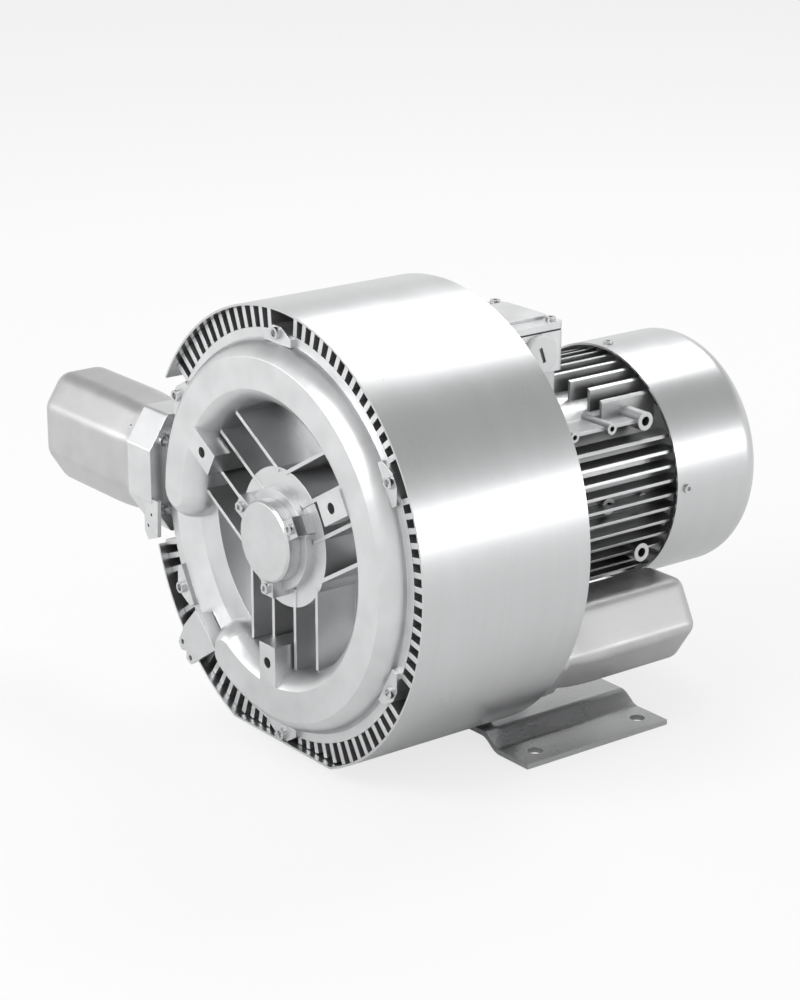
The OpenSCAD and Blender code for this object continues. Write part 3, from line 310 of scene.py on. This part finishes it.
@dataclass(frozen=True)
class CastMetal(Finish):
    """Blasted casting: fine grain, faint mottling, bright handled edges, and painted shade deep inside,
    which is also rougher.
    """

    grain_mm: float = 0.9
    grain_rough: float = 0.12
    depth_mm: float = 0.05
    patch_mm: float = 26.0
    patch_span: Span = (0.3, 0.7)
    patch_rough: float = 0.08
    mottle: float = 0.05
    shine: float = 0.55
    shine_tint: float = 1.2
    shine_rough: float = 0.1
    painted_shade: float = 0.5
    crevice_mm: float = 22.0
    crevice_from: float = 0.4
    painted_shade_tint: float = 0.1
    crevice_rough: float = 0.15
    least_rough: float = 0.08

    def dress(self, graph: Graph, shader: Any) -> None:
        """Feeds the grain, the mottling, the bright edges, and the painted shade and extra roughness deep
        between fins.

        Args:
            graph: The material's graph.
            shader: The Principled node.
        """
        normal, edge = self.edges(graph)
        patches = graph.noise(self.patch_mm, detail=4.0).rising(*self.patch_span)
        grain = graph.noise(self.grain_mm, detail=2.0)
        base = graph.blend(patches, shaded(self.colour, 1.0 - self.mottle),
                           shaded(self.colour, 1.0 + self.mottle))
        handled = graph.blend(edge * self.shine, base, shaded(self.colour, self.shine_tint))
        # Painted shade: ambient occlusion darkens the colour in recesses and between fins, and raises the
        # roughness there.
        shelter = graph.value("ShaderNodeAmbientOcclusion", "AO", {"samples": SHELTER_SAMPLES},
                              {"Distance": self.crevice_mm * MM})
        crevice_shade = (1.0 - shelter).rising(self.crevice_from, 1.0)
        colour = graph.blend(crevice_shade * self.painted_shade, handled, shaded(self.colour, self.painted_shade_tint))
        roughness = (self.roughness + (patches - MIDDLE) * self.patch_rough
                     + (grain - MIDDLE) * self.grain_rough - edge * self.shine_rough
                     + crevice_shade * self.crevice_rough).clipped(self.least_rough)
        self.feed(graph, shader, colour, roughness, grain, normal, self.depth_mm)


@dataclass(frozen=True)
class SheetMetal(Finish):
    """Rolled sheet: long faint brush lines, with fine streaks in the gloss."""

    brush: Brush = Brush.AROUND
    line_mm: float = 0.7
    line_rough: float = 0.06
    streak_mm: float = 14.0
    streak_tints: Span = (0.96, 1.04)
    smear_mm: float = 60.0
    smear_span: Span = (0.35, 0.7)
    smear_rough: float = 0.04
    least_rough: float = 0.06
    depth_mm: float = 0.004

    def dress(self, graph: Graph, shader: Any) -> None:
        """Feeds the brush lines and streaks. The thin sheet has no rounded edges.

        Args:
            graph: The material's graph.
            shader: The Principled node.
        """
        lines = graph.noise(self.line_mm, detail=2.0, stretch=self.brush.value)
        streaks = graph.noise(self.streak_mm, detail=3.0, stretch=self.brush.value)
        smears = graph.noise(self.smear_mm, detail=3.0).rising(*self.smear_span)
        dark, light = (shaded(self.colour, tint) for tint in self.streak_tints)
        colour = graph.blend(streaks, dark, light)
        roughness = (self.roughness + (lines - MIDDLE) * self.line_rough
                     + (smears - MIDDLE) * self.smear_rough).clipped(self.least_rough)
        plain = graph.node("ShaderNodeNewGeometry").outputs["Normal"]
        self.feed(graph, shader, colour, roughness, lines, plain, self.depth_mm)


@dataclass(frozen=True)
class PlatedMetal(Finish):
    """Plated or turned steel: fine turning marks and a slight bloom."""

    bloom_mm: float = 5.0
    bloom_span: Span = (0.3, 0.75)
    bloom_tints: Span = (0.9, 1.08)
    bloom_rough: float = 0.14
    mark_mm: float = 0.4
    mark_rough: float = 0.06
    depth_mm: float = 0.01
    shine: float = 0.5
    shine_tint: float = 1.25
    least_rough: float = 0.06

    def dress(self, graph: Graph, shader: Any) -> None:
        """Feeds the bloom and the fine marks.

        Args:
            graph: The material's graph.
            shader: The Principled node.
        """
        normal, edge = self.edges(graph)
        bloom = graph.noise(self.bloom_mm, detail=4.0).rising(*self.bloom_span)
        marks = graph.noise(self.mark_mm, detail=2.0)
        dark, light = (shaded(self.colour, tint) for tint in self.bloom_tints)
        base = graph.blend(bloom, dark, light)
        colour = graph.blend(edge * self.shine, base, shaded(self.colour, self.shine_tint))
        roughness = (self.roughness + (bloom - MIDDLE) * self.bloom_rough
                     + (marks - MIDDLE) * self.mark_rough).clipped(self.least_rough)
        self.feed(graph, shader, colour, roughness, marks, normal, self.depth_mm)


@dataclass(frozen=True)
class Moulded(Finish):
    """Moulded plastic, rubber, lacquer or foam: a fine skin with a few paler scuffs."""

    metallic: float = 0.0
    skin_mm: float = 0.8
    skin_tints: Span = (0.93, 1.07)
    skin_rough: float = 0.1
    scuff_mm: float = 7.0
    scuff_span: Span = (0.55, 0.8)
    scuff_shine: float = 0.2
    depth_mm: float = 0.03
    shine: float = 0.4
    shine_tint: float = 1.25
    shine_rough: float = 0.08
    least_rough: float = 0.1

    def dress(self, graph: Graph, shader: Any) -> None:
        """Feeds the skin and the scuffs.

        Args:
            graph: The material's graph.
            shader: The Principled node.
        """
        normal, edge = self.edges(graph)
        skin = graph.noise(self.skin_mm, detail=3.0)
        scuffs = graph.noise(self.scuff_mm, detail=5.0).rising(*self.scuff_span)
        dark, light = (shaded(self.colour, tint) for tint in self.skin_tints)
        base = graph.blend(skin, dark, light)
        colour = graph.blend((edge * self.shine + scuffs * self.scuff_shine).clipped(), base,
                             shaded(self.colour, self.shine_tint))
        roughness = (self.roughness + (skin - MIDDLE) * self.skin_rough
                     - edge * self.shine_rough).clipped(self.least_rough)
        self.feed(graph, shader, colour, roughness, skin, normal, self.depth_mm)


@dataclass(frozen=True)
class PlugPlastic(Moulded):
    """Pale plastic of the blanking plug, with painted shade in its driving slot.

    The face is the middle of the plug's outer face, as a point of the part's frame in metres.
    """

    skin_tints: Span = (0.95, 1.05)
    face: tuple[float, float, float] = (0.0, 0.0, 0.0)
    slot_half: float = 0.0085
    slot_fade: float = 0.0008
    slot_deep: Span = (0.0002, 0.0006)
    slot_shade: float = 0.85
    slot_shade_tint: float = 0.12
    slot_shade_rough: float = 0.3

    def dress(self, graph: Graph, shader: Any) -> None:
        """Feeds the skin, and paints shade on what lies below the face inside the slot's reach.

        Args:
            graph: The material's graph.
            shader: The Principled node.
        """
        normal, edge = self.edges(graph)
        skin = graph.noise(self.skin_mm, detail=3.0)
        dark, light = (shaded(self.colour, tint) for tint in self.skin_tints)
        base = graph.blend(skin, dark, light)
        spot = graph.node("ShaderNodeVectorMath", {"operation": "SUBTRACT"},
                          {0: graph.place(), 1: self.face}).outputs[0]
        split = graph.node("ShaderNodeSeparateXYZ", None, {0: spot})
        below = Value(graph, split.outputs[0]) * -1.0
        across, up = Value(graph, split.outputs[1]), Value(graph, split.outputs[2])
        away = (across * across + up * up) ** 0.5
        inside = 1.0 - away.rising(self.slot_half, self.slot_half + self.slot_fade)
        # Painted shade: the slot's walls and floor, below the face and within the slot's reach, are
        # darkened and made rougher.
        slot_shade = below.rising(*self.slot_deep) * inside
        colour = graph.blend(slot_shade * self.slot_shade, base, shaded(self.colour, self.slot_shade_tint))
        roughness = (self.roughness + (skin - MIDDLE) * self.skin_rough + slot_shade * self.slot_shade_rough
                     - edge * self.shine_rough).clipped(self.least_rough)
        self.feed(graph, shader, colour, roughness, skin, normal, self.depth_mm)


class Look(Enum):
    """The finishes of the machine."""

    CASTING = CastMetal("cast_aluminium", (0.67, 0.675, 0.68), 0.36)
    # The motor casting has stronger painted shade in the gaps between its fins.
    MOTOR_CASTING = CastMetal("motor_casting", (0.58, 0.585, 0.59), 0.38, mottle=0.06, painted_shade=0.9)
    SILENCER = CastMetal("silencer_casting", (0.53, 0.53, 0.535), 0.44, grain_mm=1.1)
    BOX = CastMetal("box_casting", (0.66, 0.665, 0.67), 0.38, grain_mm=0.6, depth_mm=0.02)
    MACHINED = CastMetal("machined_aluminium", (0.64, 0.645, 0.65), 0.3, grain_mm=0.5, depth_mm=0.012)
    SHELL = SheetMetal("shell_sheet", (0.6, 0.605, 0.61), 0.3)
    COWL = SheetMetal("cowl_sheet", (0.6, 0.605, 0.61), 0.32)
    BRACKET = SheetMetal("bracket_steel", (0.54, 0.543, 0.548), 0.27, brush=Brush.ALONG)
    SCREW = PlatedMetal("zinc_screws", (0.6, 0.605, 0.61), 0.28, edge_mm=0.4)
    SHAFT = PlatedMetal("turned_steel", (0.56, 0.565, 0.57), 0.3)
    BEARING = PlatedMetal("bearing_steel", (0.66, 0.67, 0.68), 0.16, edge_mm=0.4)
    LAMINATION = PlatedMetal("lamination_steel", (0.32, 0.325, 0.33), 0.5)
    COPPER = Moulded("varnished_copper", (0.55, 0.24, 0.1), 0.35, metallic=0.6)
    BRASS = PlatedMetal("brass_studs", (0.72, 0.54, 0.27), 0.3, edge_mm=0.4)
    RUBBER = Moulded("seal_rubber", (0.035, 0.035, 0.038), 0.6)
    FAN = Moulded("fan_plastic", (0.03, 0.03, 0.032), 0.5)
    BOARD = Moulded("terminal_board", (0.12, 0.06, 0.035), 0.5)
    PLUG = PlugPlastic("plug_plastic", (0.9, 0.905, 0.91), 0.4, skin_mm=0.5, depth_mm=0.01)
    FOAM = Moulded("silencer_foam", (0.05, 0.05, 0.055), 0.9, skin_mm=2.5, depth_mm=0.8)


@dataclass
class Finishes:
    """The materials of the machine, each made on its first use."""

    plug_face: tuple[float, float, float]
    made: dict[Look, bpy.types.Material] = field(default_factory=dict)

    def get(self, look: Look) -> bpy.types.Material:
        """The material of a finish.

        Args:
            look: The finish.

        Returns:
            Its material.
        """
        if look not in self.made:
            finish = look.value
            if look is Look.PLUG:
                finish = replace(finish, face=self.plug_face)
            self.made[look] = finish.material()
        return self.made[look]


@dataclass
class SubAssembly:
    """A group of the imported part's nodes, named behind the finish that they get."""

    title: str
    dressed: dict[Look, list[str]]

    def dress(self, nodes: Mapping[str, bpy.types.Object], finishes: Finishes) -> None:
        """Gives each node its material.

        Args:
            nodes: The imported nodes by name.
            finishes: The finishes.
        """
        for look, names in self.dressed.items():
            for name in names:
                piece = nodes[name]
                piece.data.materials.clear()
                piece.data.materials.append(finishes.get(look))
                LOG.info("%s: %s has finish %s", self.title, name, look.name)


def corner_at(corners: Sequence[Point], i: int) -> tuple[Vector, Vector, Vector, float]:
    """Looks at one corner of an outline.

    Args:
        corners: The corners in order.
        i: The corner's number.

    Returns:
        The corner, the directions back and ahead along its sides, and half the angle between them.
    """
    here = Vector(corners[i])
    back = (Vector(corners[i - 1]) - here).normalized()
    ahead = (Vector(corners[(i + 1) % len(corners)]) - here).normalized()
    return here, back, ahead, math.acos(max(-1.0, min(1.0, back.dot(ahead)))) / 2


def rounded_outline(corners: Sequence[Point], radius: float, steps: int,
                    side_steps: int = 0) -> list[Point]:
    """Rounds the corners of an outline.

    Args:
        corners: The corners in order.
        radius: Radius of each corner.
        steps: Number of straight bits in each corner.
        side_steps: Number of points set along each straight side.

    Returns:
        The points of the rounded outline.
    """
    points: list[Point] = []
    for i in range(len(corners)):
        here, back, ahead, half = corner_at(corners, i)
        centre = here + (back + ahead).normalized() * (radius / math.sin(half))
        start = here + back * (radius / math.tan(half)) - centre
        end = here + ahead * (radius / math.tan(half)) - centre
        turn = math.acos(max(-1.0, min(1.0, start.dot(end) / radius ** 2)))
        side = math.copysign(1.0, start.x * end.y - start.y * end.x)
        for k in range(steps + 1):
            angle = side * turn * k / steps
            points.append((centre.x + start.x * math.cos(angle) - start.y * math.sin(angle),
                           centre.y + start.x * math.sin(angle) + start.y * math.cos(angle)))
    filled: list[Point] = []
    for i, (x, y) in enumerate(points):
        filled.append((x, y))
        if i % (steps + 1) == steps:
            next_x, next_y = points[(i + 1) % len(points)]
            for k in range(1, side_steps + 1):
                part = k / (side_steps + 1)
                filled.append((x + (next_x - x) * part, y + (next_y - y) * part))
    return filled


def moved_in(corners: Sequence[Point], depth: float) -> list[Point]:
    """Moves an outline's sides inward by a depth.

    Args:
        corners: The corners in order.
        depth: How far each side moves.

    Returns:
        The moved corners.
    """
    result: list[Point] = []
    for i in range(len(corners)):
        here, back, ahead, half = corner_at(corners, i)
        place = here + (back + ahead).normalized() * (depth / math.sin(half))
        result.append((place.x, place.y))
    return result


def new_piece(name: str, points: Sequence[Vector], faces: Sequence[Sequence[int]],
              smooth_degrees: float = 35.0) -> bpy.types.Object:
    """Makes a mesh piece with smooth rounds and sharp edges.

    Args:
        name: The piece's name.
        points: Its points in metres.
        faces: Its faces as point numbers.
        smooth_degrees: Edges that bend more than this stay sharp.

    Returns:
        The new object.
    """
    mesh = bpy.data.meshes.new(name)
    mesh.from_pydata([tuple(p) for p in points], [], [tuple(f) for f in faces])
    mesh.validate()
    mesh.polygons.foreach_set("use_smooth", [True] * len(mesh.polygons))
    mesh.set_sharp_from_angle(angle=math.radians(smooth_degrees))
    piece = bpy.data.objects.new(name, mesh)
    bpy.context.scene.collection.objects.link(piece)
    return piece


@dataclass
class Silencer:
    """One cast silencer housing: a lip at its joint, a slightly sunk body and a rounded far end.

    The far end's round is as long as the edge, and there the outline moves in by the drop. A corner's
    radius shrinks by the corner loss times the inward depth.
    """

    node: str
    corners: list[Point]
    centre: Vector
    across: Vector
    upward: Vector
    outward: Vector
    length: float
    edge: float
    drop: float
    corner_r: float
    corner_loss: float = 0.45
    least_corner: float = 0.003
    lip: float = 0.007
    lip_round: float = 0.0006
    body: tuple[Point, ...] = ((0.002, 0.003), (0.007, 0.0032), (0.02, 0.0014), (0.034, 0.0004),
                               (0.05, 0.0))
    bore_r: float = 0.0318
    port_r: float = 0.0283
    port_l: float = 0.024
    port_bevel: float = 0.001
    corner_steps: int = 7
    side_steps: int = 7
    edge_steps: int = 9

    def stations(self) -> list[tuple[float, float]]:
        """How deep the outline is moved in at each distance from the joint face.

        The body's own pairs count from the lip.

        Returns:
            Pairs of distance and inward depth.
        """
        lip = [(0.0, self.lip_round), (self.lip_round, 0.0), (self.lip - self.lip_round, 0.0),
               (self.lip, self.lip_round)]
        body = [(self.lip + z, depth) for z, depth in self.body]
        start = self.length - self.edge
        end = [(start + self.edge * math.sin(math.pi / 2 * k / self.edge_steps),
                self.drop * (1 - math.cos(math.pi / 2 * k / self.edge_steps)))
               for k in range(self.edge_steps + 1)]
        return lip + body + end

    def point(self, x: float, y: float, z: float) -> Vector:
        """A point of the housing in the part's frame."""
        return self.centre + self.across * x + self.upward * y + self.outward * z

    def build(self) -> bpy.types.Object:
        """Builds the housing over its CAD solid.

        Returns:
            The new piece.
        """
        rings: list[list[Vector]] = []
        for z, depth in self.stations():
            radius = max(self.least_corner, self.corner_r - depth * self.corner_loss)
            outline = rounded_outline(moved_in(self.corners, depth), radius, self.corner_steps,
                                      self.side_steps)
            rings.append([self.point(x, y, z) for x, y in outline])
        first = rounded_outline(self.corners, self.corner_r, self.corner_steps, self.side_steps)
        angles = [math.atan2(y, x) for x, y in first]
        port_z = self.length - self.port_l
        for z, radius in ((self.length, self.port_r + self.port_bevel),
                          (self.length - self.port_bevel, self.port_r),
                          (port_z, self.port_r), (port_z, self.bore_r), (0.0, self.bore_r)):
            rings.append([self.point(radius * math.cos(a), radius * math.sin(a), z) for a in angles])
        count = len(first)
        points = [p for ring in rings for p in ring]
        faces = []
        for ring in range(len(rings)):
            near, far = ring * count, (ring + 1) % len(rings) * count
            for i in range(count):
                after = (i + 1) % count
                faces.append((far + i, far + after, near + after, near + i))
        piece = new_piece(self.node + "_housing", points, faces)
        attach(piece, "housing")
        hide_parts(self.node)
        return piece


@dataclass
class Silencers:
    """Both silencer housings, placed on the boxes of their CAD solids."""

    inlet_cut: Span = (0.020, 0.031)
    outlet_mm: tuple[Point, ...] = ((-20, -42), (20, -40), (43, -6), (43, 2), (23, 41), (-22, 41),
                                    (-43, 2), (-43, -6))
    inlet_edge: float = 0.02
    inlet_drop: float = 0.012
    outlet_edge: float = 0.014
    outlet_drop: float = 0.0085
    inlet_corner: float = 0.017
    outlet_corner: float = 0.012
    cad_corner: float = 0.009
    cad_steps: int = 7

    def build(self, finishes: Finishes) -> list[bpy.types.Object]:
        """Builds both housings.

        Args:
            finishes: The finishes.

        Returns:
            The new pieces.
        """
        low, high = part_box("inlet_silencer")
        half_y, half_z = (high.y - low.y) / 2, (high.z - low.z) / 2
        cut_y, cut_z = self.inlet_cut
        corners = [(-half_y, -half_z + cut_z), (-half_y + cut_y, -half_z), (half_y - cut_y, -half_z),
                   (half_y, -half_z + cut_z), (half_y, half_z - cut_z), (half_y - cut_y, half_z),
                   (-half_y + cut_y, half_z), (-half_y, half_z - cut_z)]
        middle = Vector((high.x, (low.y + high.y) / 2, (low.z + high.z) / 2))
        inlet = Silencer(node="inlet_silencer", corners=corners, centre=middle, across=BACK, upward=UP,
                         outward=-RIGHT, length=high.x - low.x, edge=self.inlet_edge,
                         drop=self.inlet_drop, corner_r=self.inlet_corner)
        low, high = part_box("outlet_silencer")
        outline = [(x * MM, y * MM) for x, y in self.outlet_mm]
        solid = rounded_outline(outline, self.cad_corner, self.cad_steps)
        middle = Vector((high.x - max(x for x, _ in solid), low.y, high.z - max(y for _, y in solid)))
        outlet = Silencer(node="outlet_silencer", corners=outline, centre=middle, across=RIGHT, upward=UP,
                          outward=BACK, length=high.y - low.y, edge=self.outlet_edge,
                          drop=self.outlet_drop, corner_r=self.outlet_corner)
        pieces = [inlet.build(), outlet.build()]
        for piece in pieces:
            piece.data.materials.append(finishes.get(Look.SILENCER))
            LOG.info("silencers: built %s", piece.name)
        return pieces


def sub_assemblies() -> list[SubAssembly]:
    """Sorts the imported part's nodes into sub-assemblies, with a finish for each node.

    Returns:
        The sub-assemblies.
    """
    return [
        SubAssembly("casing", {
            Look.CASTING: ["front_cover", "centre_casing", "rear_casing"],
            Look.RUBBER: ["joint_gaskets"],
            Look.SCREW: ["cover_bolts", "casing_bolts"]}),
        SubAssembly("shell", {Look.SHELL: ["air_shroud"], Look.SCREW: ["shroud_screws"]}),
        SubAssembly("front bearing", {
            Look.MACHINED: ["bearing_cap"],
            Look.SCREW: ["cap_screws"],
            Look.BEARING: ["front_bearing_outer", "front_bearing_balls", "front_bearing_inner"],
            Look.RUBBER: ["shaft_seals"]}),
        SubAssembly("rotor", {
            Look.SHAFT: ["shaft", "shaft_nut", "impeller_spacer", "impeller_keys", "fan_clip"],
            Look.MACHINED: ["impeller_front", "impeller_rear", "rotor_cage"],
            Look.LAMINATION: ["rotor_core"],
            Look.FAN: ["cooling_fan"]}),
        SubAssembly("motor", {
            Look.LAMINATION: ["stator_core"],
            Look.COPPER: ["stator_windings"],
            Look.MOTOR_CASTING: ["motor_housing", "rear_shield"],
            Look.SCREW: ["motor_bolts", "shield_screws", "cowl_screws"],
            Look.BEARING: ["rear_bearing_outer", "rear_bearing_balls", "rear_bearing_inner",
                           "wave_spring"],
            Look.COWL: ["fan_cowl"]}),
        SubAssembly("terminal box", {
            Look.BOX: ["terminal_box", "terminal_lid"],
            Look.SCREW: ["box_screws", "lid_screws"],
            Look.RUBBER: ["lid_gasket"],
            Look.BOARD: ["terminal_board"],
            Look.BRASS: ["terminal_studs"],
            Look.PLUG: ["cable_plug"]}),
        SubAssembly("silencers", {
            Look.SILENCER: ["inlet_silencer", "outlet_silencer"],
            Look.FOAM: ["inlet_foam", "outlet_foam"],
            Look.RUBBER: ["inlet_gasket", "outlet_gasket"],
            Look.SCREW: ["inlet_screws", "outlet_screws"]}),
        SubAssembly("base", {Look.BRACKET: ["base_bracket"], Look.SCREW: ["base_screws"]}),
    ]


@dataclass
class Lamp:
    """One soft lamp, aimed at a point."""

    name: str
    place: tuple[float, float, float]
    aim: tuple[float, float, float]
    size: tuple[float, float]
    power: float

    def build(self) -> None:
        """Adds the lamp to the scene."""
        data = bpy.data.lights.new(self.name, "AREA")
        data.shape = "RECTANGLE"
        data.size, data.size_y = self.size
        data.energy = self.power
        lamp = bpy.data.objects.new(self.name, data)
        lamp.location = self.place
        lamp.rotation_euler = (Vector(self.aim) - Vector(self.place)).to_track_quat("-Z", "Y").to_euler()
        lamp.visible_camera = False
        bpy.context.scene.collection.objects.link(lamp)


@dataclass
class Studio:
    """The camera, the pale floor, the world and the soft lamps."""

    camera_place: tuple[float, float, float] = (1.8323, -1.5103, 0.9895)
    camera_aim: tuple[float, float, float] = (0.031286, -0.138372, 0.23356)
    lens: float = 95.75
    sensor: float = 36.0
    sight: float = 200.0
    floor_size: float = 60.0
    paper: Colour = (0.9, 0.9, 0.9)
    floor_glow: float = 0.75
    glow_near: float = 0.06
    glow_reach: Span = (0.3, 1.4)
    world_level: float = 0.8
    sky: tuple[Span, ...] = ((0.0, 0.55), (0.5, 1.0), (0.6, 1.0), (0.76, 0.55), (0.9, 0.5), (1.0, 0.8))
    lamps: list[Lamp] = field(default_factory=lambda: [
        Lamp("key_lamp", (0.2, -3.0, 2.3), (0.0, 0.0, 0.2), (2.0, 1.4), 58.0),
        Lamp("fill_lamp", (-2.4, -2.8, 1.0), (0.0, 0.0, 0.2), (1.6, 1.4), 20.0),
        Lamp("side_lamp", (2.9, 2.1, 0.75), (0.0, 0.0, 0.2), (1.3, 0.7), 13.0),
        Lamp("back_lamp", (-1.0, 1.9, 2.9), (0.0, 0.0, 0.2), (2.4, 1.0), 40.0),
    ])

    def build(self) -> None:
        """Builds the whole studio."""
        scene = bpy.context.scene
        scene.view_settings.view_transform = "Standard"
        self.build_camera(scene)
        self.build_floor()
        self.build_world(scene)
        for lamp in self.lamps:
            lamp.build()
        LOG.info("studio: camera, floor, world and %d lamps", len(self.lamps))

    def build_camera(self, scene: bpy.types.Scene) -> None:
        """Adds the camera at the photograph's place and angle.

        Args:
            scene: The scene.
        """
        data = bpy.data.cameras.new("camera")
        data.lens = self.lens
        data.sensor_width = self.sensor
        data.clip_end = self.sight
        camera = bpy.data.objects.new("camera", data)
        camera.location = self.camera_place
        aim = Vector(self.camera_aim) - Vector(self.camera_place)
        camera.rotation_euler = aim.to_track_quat("-Z", "Y").to_euler()
        scene.collection.objects.link(camera)
        scene.camera = camera

    @staticmethod
    def seen(graph: Graph) -> Value:
        """Tells a look from other light.

        Args:
            graph: The material's graph.

        Returns:
            1 for a camera, glossy or transmission ray, and 0 for any other.
        """
        path = graph.node("ShaderNodeLightPath")
        rays = [Value(graph, path.outputs[name]) for name in ("Is Camera Ray", "Is Glossy Ray",
                                                              "Is Transmission Ray")]
        return (rays[0] + rays[1] + rays[2]).clipped()

    def build_floor(self) -> None:
        """Adds the pale floor, which keeps the machine's soft shadow."""
        half = self.floor_size / 2
        corners = [Vector((x * half, y * half, 0.0)) for x, y in ((-1, -1), (1, -1), (1, 1), (-1, 1))]
        floor = new_piece("floor", corners, [(0, 1, 2, 3)])
        material = bpy.data.materials.new("floor_paper")
        material.use_nodes = True
        graph = Graph(material.node_tree)
        paper = graph.node("ShaderNodeBsdfDiffuse", None, {"Color": opaque(self.paper)})
        glow = graph.node("ShaderNodeEmission", None, {"Color": WHITE, "Strength": 1.0})
        away = graph.value("ShaderNodeVectorMath", "Value", {"operation": "LENGTH"},
                           {0: graph.node("ShaderNodeTexCoord").outputs["Object"]}).rising(*self.glow_reach)
        camera_ray = Value(graph, graph.node("ShaderNodeLightPath").outputs["Is Camera Ray"])
        near = self.glow_near + camera_ray * (1.0 - self.glow_near)
        amount = self.seen(graph) * (near + away * (1.0 - near)) * self.floor_glow
        mixed = graph.node("ShaderNodeMixShader", None,
                           {0: amount, 1: paper.outputs[0], 2: glow.outputs[0]})
        graph.node("ShaderNodeOutputMaterial", None, {"Surface": mixed.outputs[0]})
        floor.data.materials.append(material)

    def build_world(self, scene: bpy.types.Scene) -> None:
        """Lights the room: white walls, a greyer ceiling with a pale middle.

        Args:
            scene: The scene.
        """
        world = bpy.data.worlds.new("studio")
        scene.world = world
        world.use_nodes = True
        graph = Graph(world.node_tree)
        direction = graph.node("ShaderNodeTexCoord").outputs["Generated"]
        height = graph.value("ShaderNodeSeparateXYZ", 2, None, {0: direction})
        shade = graph.node("ShaderNodeValToRGB", {"stops": self.sky}, {0: (height + 1.0) * 0.5})
        path = graph.node("ShaderNodeLightPath")
        camera_ray = Value(graph, path.outputs["Is Camera Ray"])
        glossy = (Value(graph, path.outputs["Is Glossy Ray"])
                  + Value(graph, path.outputs["Is Transmission Ray"]))
        colour = graph.blend(camera_ray, shade.outputs[0], WHITE)
        strength = self.world_level + (camera_ray + glossy).clipped() * (1.0 - self.world_level)
        background = graph.node("ShaderNodeBackground", None, {"Color": colour, "Strength": strength})
        graph.node("ShaderNodeOutputWorld", None, {"Surface": background.outputs[0]})


def main() -> None:
    """Loads the frame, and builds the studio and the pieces."""
    logging.basicConfig(level=logging.INFO, format="%(name)s: %(message)s")
    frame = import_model()
    Studio().build()
    low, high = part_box("cable_plug")
    finishes = Finishes(plug_face=(high.x, (low.y + high.y) / 2, (low.z + high.z) / 2))
    for group in sub_assemblies():
        group.dress(frame["nodes"], finishes)
    Silencers().build(finishes)


if __name__ == "__main__":
    main()
